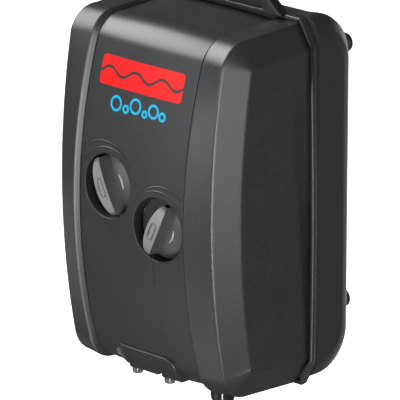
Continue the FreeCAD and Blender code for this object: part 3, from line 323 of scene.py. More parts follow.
def front_profile(depth, bow, tilt, half, top, bottom, reach, radius):
    """Side view of the front cover as (depth forwards, height), and the way out at each point.

    Flat top, a rounded corner, the bowed face, a rounded corner and the flat underside.
    """
    def corner(start, end):
        """Arc of the radius between two points."""
        half_chord = math.dist(start, end) / 2
        rise = radius - math.sqrt(max(0.0, radius ** 2 - half_chord ** 2))
        return arc(start, end, rise, bend)

    seam = sizes().joint_width
    run = np.linspace(0, 1, TOP_ROWS)[:-1, None]
    high, low = depth - tilt, depth + tilt
    upper = (seam, top + DRAFT) + run * np.array([high - reach - seam, -DRAFT])
    bend = np.linspace(0, 1, FILLET_ROWS)
    over = corner((high - reach, top), (high, half))[:-1]
    level = level_lines() / FACE_LIMIT * half
    face = np.column_stack([face_depth(depth, bow, tilt, half, level), level])
    under = corner((low, -half), (low - reach, -bottom))[1:]
    down = np.linspace(0, 1, TOP_ROWS)[1:, None]
    lower = (low - reach, -bottom) + down * np.array([seam - low + reach, -DRAFT])
    lift = np.concatenate([np.full(len(upper), 90.0), 90 - 90 * bend[:-1], np.zeros(len(face)),
                           -90 * bend[1:], np.full(len(lower), -90.0)])
    way = np.column_stack([np.cos(np.radians(lift)), np.sin(np.radians(lift))])
    return np.concatenate([upper, over, face, under, lower]), way


def stations():
    """Side views from the side panel inwards: (half width, profile, way out).

    Each row holds its half width, its face's depth, bow, tilt and half height, the heights of its
    top and its underside, and its corners' reach and radius.
    """
    s = sizes()
    rows = [
        (s.panel_half, 34.2, 5.6, 0.0, 62.0, 63.2, 64.8, 1.2, 1.9),
        (s.rim_half, 44.5, 6.3, -0.4, FACE_LIMIT, 73.4, 76.4, *CORNER),
        (s.crest_half, 45.2, 9.9, 1.2, FACE_LIMIT, 73.4, 76.4, *CORNER),
        (s.step_foot, *BAND, 72.0, 75.0, *CORNER),
        (s.band_half, *BAND, 72.0, 75.0, *CORNER),
    ]
    return [(half, *front_profile(*rest)) for half, *rest in rows]


def front_sides(skin):
    """Both flanks: ruled between the side views, with the creases rounded and the joint let in."""
    views = stations()
    columns = [xyz(half, -line[:, 0], line[:, 1]) for half, line, _ in views]
    panel = columns[0] * (1.0, 0.955, 0.975)
    panel[:, 1] = np.minimum(panel[:, 1], -sizes().joint_width)
    groove = []
    for (half, line, way), inwards in ((views[3], -0.12), (views[4], 0.12)):
        sunk = line - way * GROOVE
        groove.append(xyz(half + inwards, -sunk[:, 0], sunk[:, 1]))
    line = np.stack([panel, *columns[:4], *groove, columns[4]], axis=1)
    right = rounded(line, [0.8, 0.8, 0.5, 0.2, 0.08, 0.08], 4)
    for side in (1, -1):
        skin.grid(right * (side, 1, 1))
        skin.cap(panel * (side, 1, 1))


def front_band(skin):
    """Middle band: the side view carried across with a slight bulge, cut open round both knobs."""
    s = sizes()
    _, line, way = stations()[4]
    across = cross_lines()
    bulge = s.band_bulge * (1 - (across / s.band_half) ** 2)
    spot = line[:, None] + way[:, None] * bulge[None, :, None]
    points = xyz(across, -spot[..., 0], spot[..., 1])
    keep = np.ones((len(line) - 1, len(across) - 1), bool)
    reach = square_half()

    def near(values, at):
        return int(np.argmin(np.abs(values - at)))

    for x, z, _ in KNOBS.values():
        left, right = near(across, x - reach), near(across, x + reach)
        first = TOP_ROWS - 1 + FILLET_ROWS - 1
        upper = first + near(level_lines(), z + reach)
        lower = first + near(level_lines(), z - reach)
        keep[upper:lower, left:right] = False
        edge = np.concatenate([points[upper, left:right], points[upper:lower, right],
                               points[lower, right:left:-1], points[lower:upper:-1, left]])
        knob_hole(skin, edge, x, z)
    skin.grid(points, keep)


def band_depth(x, z):
    """Depth of the band's surface in front of the seam."""
    s = sizes()
    return face_depth(*BAND, z) + s.band_bulge * (1 - (x / s.band_half) ** 2)


def knob_hole(skin, edge, x, z):
    """From a square of grid points in to a circle, over its rounded lip and down its wall."""
    flat = edge[:, (0, 2)] - (x, z)
    ray = flat / np.linalg.norm(flat, axis=1, keepdims=True)
    radius = sizes().hole_radius
    rings = [edge]

    def ring(spot, sunk):
        """Points over flat spots round the middle, sunk below the band's surface."""
        across, up = (spot + (x, z)).T
        rings.append(xyz(across, sunk - band_depth(across, up), up))

    for share in (0.5, 1.0):
        ring(flat * (1 - share) + ray * (radius + LIP) * share, 0.0)
    for turn in np.radians((25, 50, 75, 90)):
        ring(ray * (radius + LIP * (1 - math.sin(turn))), LIP * (1 - math.cos(turn)))
    for depth in (2.0, 5.5):
        ring(ray * radius, depth)
    skin.grid(np.stack(rings), around=True)


GUARD_MIDDLE, GUARD_HALF, GUARD_TOP, GUARD_LOW = -2.7, 20.3, -63.3, -73.9
# Where the guard begins to sink towards its left end, and over what width.
GUARD_SINKS, SINK_WIDTH = -10.5, 11.0
# The cover's rounded lower edge under the guard: its depth, and the edge's height and reach back.
EDGE_DEPTH, EDGE_HEIGHT, EDGE_REACH = 44.4, 10.6, 14.5


def guard_front(z):
    """Depth of the outlet guard's face: a straight slope with a slight bow."""
    share = np.clip((GUARD_TOP - z) / (GUARD_TOP - GUARD_LOW), 0, 1)
    return 47.2 - 5.0 * share + 0.7 * np.sin(share * math.pi)


def outlet_guard(skin):
    """Block over the outlets: an outline with two round upper corners, a ledge round it, its face
    drawn in to a middle line, and a hollowed lower edge at each nozzle."""
    low, high = GUARD_LOW, GUARD_TOP
    left, right = GUARD_MIDDLE - GUARD_HALF, GUARD_MIDDLE + GUARD_HALF
    base = np.linspace(right, left, 91)
    lower = np.full(91, low)
    for x in NOZZLES.values():
        lower = np.maximum(lower, low + 2.3 * np.sqrt(np.clip(1 - ((base - x) / 2.6) ** 2, 0, 1)))
    corners = np.array([(left, low), (left, high), (right, high), (right, low)])
    line = rounded(corners[None], [5.4, 5.4], 10)[0]
    steps = [np.linspace(start, end, 12)[:-1] for start, end in zip(line[:-1], line[1:])]
    outline = np.concatenate([*steps, np.column_stack([base, lower])[:-1]])
    middle = np.column_stack([np.clip(outline[:, 0], left + 6, right - 6),
                              np.full(len(outline), (low + high) / 2)])
    inward = middle - outline
    inward = inward / np.linalg.norm(inward, axis=1, keepdims=True)

    def ring(spot, sunk):
        """Points over flat spots, sunk below the face. Towards its left end the face runs smoothly
        into the cover's rounded lower edge."""
        share = np.clip((GUARD_SINKS - spot[:, 0]) / SINK_WIDTH, 0, 1)
        down = np.clip((-FACE_LIMIT - spot[:, 1]) / EDGE_HEIGHT, 0, 0.99)
        cover = EDGE_DEPTH - EDGE_REACH * (1 - np.sqrt(1 - down * down))
        front = guard_front(spot[:, 1])
        flush = share * share * (3 - 2 * share) * (front - cover + 0.3)
        return xyz(spot[:, 0], sunk + flush - front, spot[:, 1])

    rings = [ring(outline + inward * inset, sunk)
             for inset, sunk in ((0.0, 9.0), (0.0, 0.45), (0.1, 0.16), (0.35, 0.02), (0.7, 0.0))]
    rings += [ring((outline + inward * 0.7) * (1 - share) + middle * share, 0.0)
              for share in np.linspace(0.15, 1, 7)]
    skin.grid(np.stack(rings), around=True)


# ---- finishes

def operator(operation, reflected=False):
    """Method that adds one Math node to a finish. A reflected one has its terms the other way."""
    def apply(self, other=0.0):
        first, second = (other, self) if reflected else (self, other)
        return self.finish.node("Math", {"operation": operation}, {0: first, 1: second})
    return apply


class Term:
    """A socket that can be added, subtracted, multiplied and compared like a number."""

    def __init__(self, finish, socket):
        self.finish, self.socket = finish, socket

    __add__, __radd__ = operator("ADD"), operator("ADD", True)
    __sub__, __rsub__ = operator("SUBTRACT"), operator("SUBTRACT", True)
    __mul__, __rmul__ = operator("MULTIPLY"), operator("MULTIPLY", True)
    __abs__, root, sine = operator("ABSOLUTE"), operator("SQRT"), operator("SINE")
    high, angle = operator("MAXIMUM"), operator("ARCTAN2")

    def below(self, limit, soft):
        """1 where the value is under the limit, 0 over it, with a soft edge."""
        return self.finish.node("MapRange", {"interpolation_type": "SMOOTHSTEP"},
                                {"Value": self, "From Min": limit - soft, "From Max": limit + soft,
                                 "To Min": 1.0, "To Max": 0.0})


class Finish:
    """One procedural material, made from nodes."""

    def __init__(self, name, base, roughness, metallic=0.0, coat=0.0):
        self.material = bpy.data.materials.new(name)
        self.material.use_nodes = True
        self.tree = self.material.node_tree
        self.tree.nodes.clear()
        self.shader = self.tree.nodes.new("ShaderNodeBsdfPrincipled")
        output = self.tree.nodes.new("ShaderNodeOutputMaterial")
        self.tree.links.new(self.shader.outputs[0], output.inputs["Surface"])
        self.put(self.shader.inputs["Base Color"], (*base, 1.0))
        self.put(self.shader.inputs["Roughness"], roughness)
        self.put(self.shader.inputs["Metallic"], metallic)
        self.put(self.shader.inputs["Coat Weight"], coat)

    def put(self, socket, value):
        if isinstance(value, Term):
            self.tree.links.new(value.socket, socket)
        else:
            socket.default_value = value

    def node(self, kind, settings=None, sockets=None, output=0):
        """Any node: its settings first, then values or links for its sockets."""
        made = self.tree.nodes.new("ShaderNode" + kind)
        for name, value in (settings or {}).items():
            setattr(made, name, value)
        for name, value in (sockets or {}).items():
            self.put(made.inputs[name], value)
        return Term(self, made.outputs[output])

    def place(self):
        """Position on the piece as x, y, z in millimetres from the middle of the seam."""
        spot = self.node("TexCoord", output=3)
        moved = self.node("VectorMath", {"operation": "MULTIPLY_ADD"},
                          {0: spot, 1: (1000.0,) * 3, 2: (0.0, 0.0, HANG)})
        parts = self.node("SeparateXYZ", None, {0: moved})
        outputs = parts.socket.node.outputs
        return moved, Term(self, outputs[0]), Term(self, outputs[1]), Term(self, outputs[2])

    def mix(self, share, first, second):
        """Colour between two colours."""
        first, second = ((*c, 1.0) if isinstance(c, tuple) else c for c in (first, second))
        return self.node("Mix", {"data_type": "RGBA"}, {0: share, 6: first, 7: second}, 2)

    def noise(self, spot, scale, detail=2.0, rough=0.5):
        """Noise with about this many lumps to the millimetre."""
        return self.node("TexNoise", None, {"Vector": spot, "Scale": scale, "Detail": detail,
                                            "Roughness": rough})

    def colour(self, value):
        self.put(self.shader.inputs["Base Color"], value)

    def roughness(self, value):
        self.put(self.shader.inputs["Roughness"], value)

    def bump(self, height, depth):
        """Relief whose height is a share of the depth, in millimetres."""
        self.put(self.shader.inputs["Normal"],
                 self.node("Bump", None, {"Strength": 1.0, "Distance": depth / 1000.0,
                                          "Height": height}))


@cache
def plastic(name, base, roughness, grain=0.5, depth=0.02, speck=0.12, coat=0.0):
    """Moulded plastic: fine eroded grain in the relief, faint mottling in colour and gloss."""
    finish = Finish(name, base, roughness, coat=coat)
    spot, *_ = finish.place()
    fine = finish.noise(spot, 1.0 / grain, 3.0, 0.6)
    wide = finish.noise(spot, 0.05, 2.0)
    finish.colour(finish.mix(fine * 0.7 + wide * 0.3, tint(base, 1 - speck), tint(base, 1 + speck)))
    finish.roughness(roughness + (fine - 0.5) * 0.12)
    finish.bump(fine, depth)
    return finish.material


# Printed bar: its middle, half width, half height and corner radius; the wave cut through it; and
# the bubbles under it, each with its middle and radius.
BAR = (-0.6, 52.3, 23.2, 5.9, 1.8)
WAVE_START, WAVE_LENGTH, WAVE_HEIGHT, PRINT_EDGE = 7.5, 15.0, 1.6, 0.12
BUBBLES = ((-12.2, 40.2, 3.2), (-6.4, 38.9, 1.8), (-1.2, 41.0, 3.2), (4.3, 38.9, 1.6),
           (8.9, 40.8, 2.9), (13.9, 39.6, 1.9))
# Crescent over a knob: where it starts and how far it turns, in degrees, and its inner radius.
CRESCENT_START, CRESCENT_TURN, CRESCENT_INNER = 38, 110, 15.9


@cache
def front_finish():
    """Grained front plastic with a printed bar and bubbles and the engraved knob scales, a painted
    highlight along both crests and painted shade on the walls of the knob holes.
    """
    c, shape = colours(), sizes()
    base = c.front
    finish = Finish("front shell", base, 0.42)
    spot, x, y, z = finish.place()
    fine = finish.noise(spot, 2.0, 3.0, 0.6)
    wide = finish.noise(spot, 0.04, 2.0)

    def distance(across, up):
        return (across * across + up * up).root()

    def box(cx, cz, half_width, half_height, radius):
        """Distance outside a rectangle with rounded corners."""
        return distance((abs(x - cx) - (half_width - radius)).high(0.0),
                        (abs(z - cz) - (half_height - radius)).high(0.0)) - radius

    plain = finish.mix((fine - 0.5) * 2.6 + (wide - 0.5) * 0.5 + 0.5, tint(base, 0.68),
                       tint(base, 1.32))
    # A speckled band along both crests is painted six times lighter: a painted highlight.
    crest = shape.crest_half - 0.2
    crest_highlight = (abs(abs(x) - crest) - 0.3).below(0.0, 0.35) * y.below(-43.0, 2.0)
    plain = finish.mix(crest_highlight * (fine * 1.6 - 0.3), plain, tint(base, 6.0))
    # The walls of both knob holes are painted nearly black and made rougher: painted shade.
    left, right = (distance(x - cx, z - cz).below(shape.hole_radius + 0.1, 0.1)
                   for cx, cz, _ in KNOBS.values())
    hole_shade = left + right
    plain = finish.mix(hole_shade, plain, tint(base, 0.08))
    ahead = y.below(-40.0, 0.5)

    wave = ((x - WAVE_START) * (2 * math.pi / WAVE_LENGTH)).sine()
    bar = box(*BAR).below(0.0, PRINT_EDGE)
    cut = (abs(z - (wave * WAVE_HEIGHT + BAR[1])) - 0.6).below(0.0, PRINT_EDGE)
    marked = finish.mix(bar * (1.0 - cut) * ahead, plain, c.mark)
    rings = None
    for cx, cz, radius in BUBBLES:
        ring = (abs(distance(x - cx, z - cz) - (radius - 0.45)) - 0.5).below(0.0, PRINT_EDGE)
        rings = ring if rings is None else rings.high(ring)
    finish.colour(finish.mix(rings * ahead, marked, c.bubbles))

    relief = None
    for inward, shift, (cx, cz, _) in ((1.0, 1.2, KNOBS["left"]), (-1.0, -3.0, KNOBS["right"])):
        line = box(cx + shift, cz - 18.8, 0.3, 4.6, 0.2).below(0.0, 0.1)
        dx, dz = (x - cx) * inward, z - cz
        reach = distance(dx, dz)
        share = (dz.angle(dx) - math.radians(CRESCENT_START)) * (1 / math.radians(CRESCENT_TURN))
        wedge = (abs(reach - (CRESCENT_INNER + share * 2.5)) - share * 2.5).below(0.0, 0.14)
        wedge = wedge * (0.0 - share).below(0.0, 0.004) * share.below(1.0, 0.006)
        wedge = wedge * abs(x).below(28.4, 0.1)
        inner = (abs(reach - (CRESCENT_INNER + share * 2.3)) - share * 1.7).below(0.0, 0.14)
        raised = (wedge - inner * 0.45 * wedge) * 1.1 - line * 1.4
        relief = raised if relief is None else relief + raised
    finish.roughness(0.34 + (fine - 0.5) * 0.3 + hole_shade * 0.5)
    finish.bump(fine * 0.1 + relief * ahead, 0.36)
    return finish.material


@cache
def knob_finish():
    """Knob plastic with the grip's front-facing faces painted lighter as a painted highlight and the
    dome and flanks painted darker as painted shade, with fine grain and faint mottling.
    """
    base = colours().knob
    finish = Finish("knob", base, 0.33)
    spot, _, y, _ = finish.place()
    fine = finish.noise(spot, 2.4, 3.0, 0.6)
    wide = finish.noise(spot, 0.12, 2.0)
    normal = finish.node("NewGeometry", output="Normal")
    facing = finish.node("SeparateXYZ", None, {0: normal}, "Y")
    # Faces of the grip that look to the front are painted lighter, all else darker: painted highlight
    # and painted shade of one plastic.
    grip = y.below(-52.4, 0.8) * facing.below(-0.86, 0.08)
    lit_and_shaded = finish.mix(grip, tint(base, 0.3), tint(base, 1.25))
    finish.colour(finish.mix(wide * 0.25, lit_and_shaded, tint(base, 0.8)))
    finish.roughness(0.3 + fine * 0.1)
    finish.bump(fine, 0.012)
    return finish.material


def gloss_finish():
    """Glossy black plastic with faint flow marks."""
    return plastic("gloss", (0.010, 0.010, 0.010), 0.16, 0.9, 0.006, 0.2, coat=0.3)


@cache
def metal(name, base, roughness, stretch):
    """Drawn or rolled metal: noise stretched along one axis in gloss and relief."""
    finish = Finish(name, base, roughness, metallic=1.0)
    spot, *_ = finish.place()
    drawn = finish.node("VectorMath", {"operation": "MULTIPLY"}, {0: spot, 1: stretch})
    fine = finish.noise(drawn, 1.0, 3.0, 0.6)
    wide = finish.noise(spot, 0.1, 2.0)
    finish.colour(finish.mix(wide, tint(base, 0.8), tint(base, 1.1)))
    finish.roughness(roughness + (fine - 0.5) * 0.25)
    finish.bump(fine, 0.01)
    return finish.material


def steel_finish():
    return metal("zinc-plated steel", (0.52, 0.53, 0.54), 0.32, (4.0, 0.6, 4.0))


@cache
def layered(name, base, roughness, step, metallic=0.0):
    """Stacked sheets or wound wire: fine even lines across the height."""
    finish = Finish(name, base, roughness, metallic=metallic)
    spot, _, _, z = finish.place()
    line = (z * (2 * math.pi / step)).sine() * 0.5 + 0.5
    fine = finish.noise(spot, 1.5, 2.0)
    finish.colour(finish.mix(line * 0.6 + fine * 0.4, tint(base, 0.55), base))
    finish.roughness(roughness + (fine - 0.5) * 0.2)
    finish.bump(line, 0.06)
    return finish.material


def inner_finishes():
    """Words in the names of inner parts, what makes their finish, and what it is made from."""
    rubber = colours().rubber
    return (
        ("housing_seal grommets spindle_seal", plastic, "rubber", rubber, 0.6, 0.35, 0.02),
        ("membrane", plastic, "membrane rubber", (0.03, 0.03, 0.032), 0.5, 0.3, 0.01),
        ("valve_flaps", plastic, "silicone", (0.55, 0.12, 0.07), 0.45, 0.4, 0.01),
        ("hose", plastic, "silicone hose", (0.52, 0.55, 0.53), 0.3, 0.8, 0.01, 0.06),
        ("valve_block valve_cap", plastic, "acetal", (0.62, 0.62, 0.58), 0.4, 0.6, 0.01, 0.05),
        ("valve_spindle push_rod", plastic, "spindle", (0.06, 0.06, 0.06), 0.35, 0.5, 0.01),
        ("pump_chamber clamp_ring", plastic, "chamber", (0.09, 0.09, 0.1), 0.45, 0.5, 0.015),
        ("carrier_plate", plastic, "carrier", (0.16, 0.17, 0.18), 0.5, 0.7, 0.02),
        ("coil_bobbin", plastic, "bobbin", (0.55, 0.5, 0.38), 0.45, 0.5, 0.01),
        ("coil_winding", layered, "copper winding", (0.72, 0.3, 0.14), 0.3, 0.6, 1.0),
        ("magnet_core", layered, "core sheets", (0.42, 0.43, 0.45), 0.45, 0.9, 1.0),
        ("core_bracket core_bolts lever_pins", steel_finish),
        ("lever", metal, "rolled steel", (0.45, 0.46, 0.47), 0.4, (0.6, 4.0, 0.2)),
        ("magnet", plastic, "ferrite", (0.035, 0.035, 0.04), 0.55, 0.5, 0.03),
        ("intake_filter", plastic, "felt", (0.62, 0.6, 0.55), 0.95, 0.5, 0.25, 0.2),
        ("inner_cable", plastic, "lead", rubber, 0.42, 0.6, 0.01),
        ("terminal_block", plastic, "terminal", (0.6, 0.58, 0.52), 0.4, 0.6, 0.01, 0.06),
        ("mains_wire_one", plastic, "brown wire", (0.11, 0.035, 0.012), 0.35, 0.8, 0.008),
        ("mains_wire_two", plastic, "blue wire", (0.02, 0.09, 0.38), 0.35, 0.8, 0.008),
        ("coil_wire", metal, "copper wire", (0.75, 0.33, 0.16), 0.3, (3.0, 3.0, 0.4)),
        ("plug_pins", metal, "nickel-plated brass", (0.72, 0.66, 0.5), 0.22, (3.0, 3.0, 0.3)),
    )


# ---- operators

class PumpOperator:
    bl_options = {"REGISTER", "UNDO"}


class AIRPUMP_OT_front_cover(PumpOperator, bpy.types.Operator):
    """Front shell with its raised rims, sunken band and knob holes"""
    bl_idname = "air_pump.front_cover"
    bl_label = "Front cover"

    def execute(self, context):
        skin = Skin()
        front_sides(skin)
        front_band(skin)
        skin.piece("front_shell", front_finish(), "housing", ["front_cover"], "housing",
                   sharp=50, solid=sizes().wall)
        guard = Skin()
        outlet_guard(guard)
        guard.piece("outlet_guard", front_finish(), "housing", slot="housing", sharp=60)
        # The hollows round the nozzles are painted near black, far darker than the cover: painted
        # shade.
        wells = Skin()
        for x in NOZZLES.values():
            wells.turning([(3.2, -4.0), (3.6, 4.0), (1.0, 4.4)], 40, "up", (x, -38.0, -70.5))
        wells.piece("outlet_wells", plastic("well", (0.004, 0.004, 0.004), 0.9), "housing",
                    slot="housing")
        return {"FINISHED"}


def seam_outline(inset, count=28):
    """Seam outline from above the front: flat top and bottom, cut corners and bowed sides."""
    rise = np.linspace(65.2, -67.6, count)
    side = 50.9 - 1.9 * ((rise + 25.0) / 90.2) ** 2
    right = np.concatenate([[(30.0, 76.6), (42.8, 76.4)], np.column_stack([side, rise]),
                            [(45.0, -79.0), (30.0, -79.0)]])
    corners = np.concatenate([right, right[::-1] * (-1, 1)])
    closed = np.concatenate([corners[-1:], corners, corners[:1]])
    soft = rounded(closed[None], [0.8] * len(corners), 3)[0, 1:-1]
    along = np.roll(soft, -1, axis=0) - np.roll(soft, 1, axis=0)
    along = along / np.linalg.norm(along, axis=1, keepdims=True)
    return soft - np.column_stack([-along[:, 1], along[:, 0]]) * inset


def ring_of(profile):
    """A profile of (inset, depth) points carried round the seam outline."""
    return np.stack([xyz(*seam_outline(inset).T, depth)[:, (0, 2, 1)] for inset, depth in profile])


def rear_profile(depth, top, bottom, radius, front):
    """Side view of the rear shell as (depth, height): flat top, round corner, flat back, round
    corner and flat underside."""
    bend = np.linspace(0, 1, 14)
    rise = radius * (1 - math.cos(math.pi / 4))
    over = arc((depth - radius, top), (depth, top - radius), rise, bend)
    under = arc((depth, -bottom + radius), (depth - radius, -bottom), rise, bend)
    run = np.linspace(0, 1, 6)[:, None]
    upper = over[0] + (1 - run[:-1]) * np.array([front - depth + radius, 0])
    lower = under[-1] + run[1:] * np.array([front - depth + radius, 0])
    face = np.column_stack([np.full(40, depth), np.linspace(top - radius, -bottom + radius, 40)])
    return np.concatenate([upper, over[:-1], face, under[1:], lower])


# Side views of the rear shell from its side inwards: half width, depth, heights of the top and of
# the underside, and corner radius; and how far the edges between them are rounded.
REAR_VIEWS = ((49.4, 19.4, 67.0, 69.0, 13.0), (48.6, 23.0, 70.6, 72.0, 15.0),
              (45.8, 25.6, 75.0, 75.6, 16.5), (42.0, 26.4, 76.6, 77.6, 17.0),
              (37.0, 26.5, 76.1, 78.0, 17.0))
REAR_EDGES = (0.8, 1.2, 1.5, 1.7, 1.2, 1.2)
# Section of the seam flange as (inset, depth), from the seam back to its groove and its rear step.
FLANGE = ((5.0, 0.0), (0.55, 0.0), (0.3, 0.08), (0.08, 0.3), (0.0, 0.6), (0.0, 1.6), (0.12, 1.85),
          (0.6, 1.95), (0.75, 2.1), (0.6, 2.25), (0.35, 2.35), (0.25, 2.6))


class AIRPUMP_OT_rear_cover(PumpOperator, bpy.types.Operator):
    """Rear shell with its rounded edges, neck and seam flange"""
    bl_idname = "air_pump.rear_cover"
    bl_label = "Rear cover"

    def execute(self, context):
        s = sizes()
        skin = Skin()
        columns = []
        for half, *rest in (*REAR_VIEWS, (34.0, s.rear_depth, 75.7, 78.0, 17.0)):
            line = rear_profile(*rest, s.neck_end)
            columns.append(xyz(half, line[:, 0], line[:, 1]))
        inner = columns[0] * (1.0, 1.0, 0.97)
        inner[:, 1] = s.neck_end + (columns[0][:, 1] - s.neck_end) * 0.93
        mirror = [column * (-1, 1, 1) for column in columns[::-1]]
        line = np.stack([inner, *columns, *mirror, inner * (-1, 1, 1)], axis=1)
        shell = rounded(line, REAR_EDGES + REAR_EDGES[::-1], 4)
        skin.grid(shell)
        for ring in (inner, inner * (-1, 1, 1), np.concatenate([shell[0], shell[-1, ::-1]])):
            skin.cap(ring)
        skin.piece("rear_shell", plastic("rear shell", colours().rear, 0.5, 0.45, 0.02),
                   "housing", ["rear_cover"], "housing", sharp=40)
        edge = Skin()
        back, end = s.flange_depth, s.neck_end + 0.2
        edge.grid(ring_of([*FLANGE, (0.25, back), (0.55, back + 0.3), (1.3, back + 0.5),
                           (1.4, end), (5.0, end)]), around=True, along=True)
        # The flange is the rear shell's plastic painted 1.2 times lighter: a painted highlight on the
        # seam ridge.
        edge.piece("seam_flange", plastic("flange", tint(colours().rear, 1.2),
                                          0.36, 0.45, 0.012),
                   "housing", slot="housing", sharp=40)
        return {"FINISHED"}


class AIRPUMP_OT_hanging_loop(PumpOperator, bpy.types.Operator):
    """Trapezoid loop on top of the housing"""
    bl_idname = "air_pump.hanging_loop"
    bl_label = "Hanging loop"

    def execute(self, context):
        """A rounded section between an outer and an inner outline, carried round both."""
        def outline(half_low, low, half_high, high, radius):
            corners = np.array([(0.0, low), (half_low, low), (half_high, high), (-half_high, high),
                                (-half_low, low), (0.0, low)])
            return rounded(corners[None], [radius] * 4, 6)[0, :-1]

        outer = outline(35.6, 75.6, 16.5, 92.0, 2.6)
        inner = outline(24.8, 77.4, 18.0, 86.0, 2.0)
        wide, deep = squared(np.linspace(0, 2 * math.pi, 24, endpoint=False), 0.3)
        share = (wide[:, None, None] + 1) / 2
        flat = inner[None] * (1 - share) + outer[None] * share
        skin = Skin()
        skin.grid(xyz(flat[..., 0], deep[:, None] * 2.5, flat[..., 1]), around=True, along=True)
        skin.piece("wall_loop", plastic("loop", tint(colours().rear, 0.5), 0.4, 0.5, 0.015),
                   "housing", ["hanging_loop"], "loop", sharp=50)
        return {"FINISHED"}


# Knob: radius and rise of its dome, where its skirt ends behind the rim, and the depth of the rim.
DOME_RADIUS, DOME_RISE, SKIRT, RIM_DEPTH = 12.6, 2.6, -4.0, 49.0
# Grip: half its length and width, height at its ends and rise to the middle.
GRIP_HALF, GRIP_WIDE, GRIP_END, GRIP_RISE = 12.1, 3.05, 4.4, 3.8
# Raised ridge on the dome, painted light grey as a painted highlight: radius of its arc and half the
# angle it spans.
RIDGE_ARC, RIDGE_TURN = 6.5, 30.0


def dome(radius):
    """Height of a knob's dome over its rim: a parabola that falls to 0 at the rim."""
    return DOME_RISE * (1 - (radius / DOME_RADIUS) ** 2)


class AIRPUMP_OT_knobs(PumpOperator, bpy.types.Operator):
    """Both knobs: a dome with an arched grip, a dished mark and a raised ridge painted light grey as
    a painted highlight
    """
    bl_idname = "air_pump.knobs"
    bl_label = "Knobs"

    def execute(self, context):
        """The dome is a turned parabola. The grip is a boat: its half width shrinks to the ends as
        an ellipse, its back is arched, and a stadium-shaped groove is let into the back."""
        radius = np.linspace(DOME_RADIUS, 0.02, 30)
        body = np.concatenate([[(11.0, SKIRT), (12.3, SKIRT), (DOME_RADIUS, -3.7),
                                (DOME_RADIUS, -0.4)], np.column_stack([radius, dome(radius)])])
        for side, (x, z, lean) in KNOBS.items():
            skin, tick = Skin(), Skin()
            skin.grid(turned(body, 96), around=True)
            skin.grid(self.grip())
            tick.grid(self.pointer())
            angle = math.radians(-lean)
            spin = np.array([[math.cos(angle), -math.sin(angle)],
                             [math.sin(angle), math.cos(angle)]])
            for part in skin.points + tick.points:
                part[:, :2] = part[:, :2] @ spin.T
                part[:] = turn_to(part, "front", (x, -RIM_DEPTH, z))
            skin.piece("dial_" + side, knob_finish(), side + "_knob", ["knob_" + side], "knob",
                       sharp=36)
            # The ridge's light grey colour is a painted highlight.
            tick.piece("pointer_" + side, plastic("pointer", (0.34, 0.34, 0.34), 0.25, 0.5, 0.006),
                       side + "_knob", slot="knob")
        return {"FINISHED"}

    def grip(self):
        """Across the bar runs the face with its dish, then a hollow flank down to the dome."""
        along = np.linspace(-GRIP_HALF, GRIP_HALF, 141)[:, None]
        around = np.linspace(-1, 1, 81)[None]
        half = GRIP_WIDE * (1 - (along / 12.8) ** 2) ** 0.5
        crown = GRIP_END + GRIP_RISE * np.sqrt(np.clip(1 - (along / 12.3) ** 2, 0, 1))
        face = np.clip(np.abs(around) / 0.6, 0, 1)
        flank = np.clip((np.abs(around) - 0.6) / 0.4, 0, 1)
        across = np.sign(around) * half * (face + 0.75 * flank ** 2.2)
        up = crown * (1 - flank) ** 1.25
        nearest = np.clip(along, -2.6, 2.6)
        gap = np.abs(np.hypot(along - nearest, across) - 1.25)
        groove = np.clip((0.4 - gap) / 0.4, 0, 1)
        up = up - 0.35 * groove * (np.abs(around) < 0.6)
        return xyz(across, along, up)

    def pointer(self):
        """A thin curved ridge on the dome: a half round carried along an arc round the axis."""
        turn = np.radians(np.linspace(-RIDGE_TURN, RIDGE_TURN, 33))[:, None]
        round_of = np.radians(np.linspace(0, 180, 9))[None]
        taper = np.sqrt(np.clip(1 - (turn / np.radians(RIDGE_TURN + 0.5)) ** 2, 0.0, 1))
        reach = RIDGE_ARC + 0.36 * np.cos(round_of) * taper
        up = dome(reach) - 0.1 + 0.75 * np.sin(round_of) * taper
        return xyz(reach * np.cos(turn), reach * np.sin(turn), up)


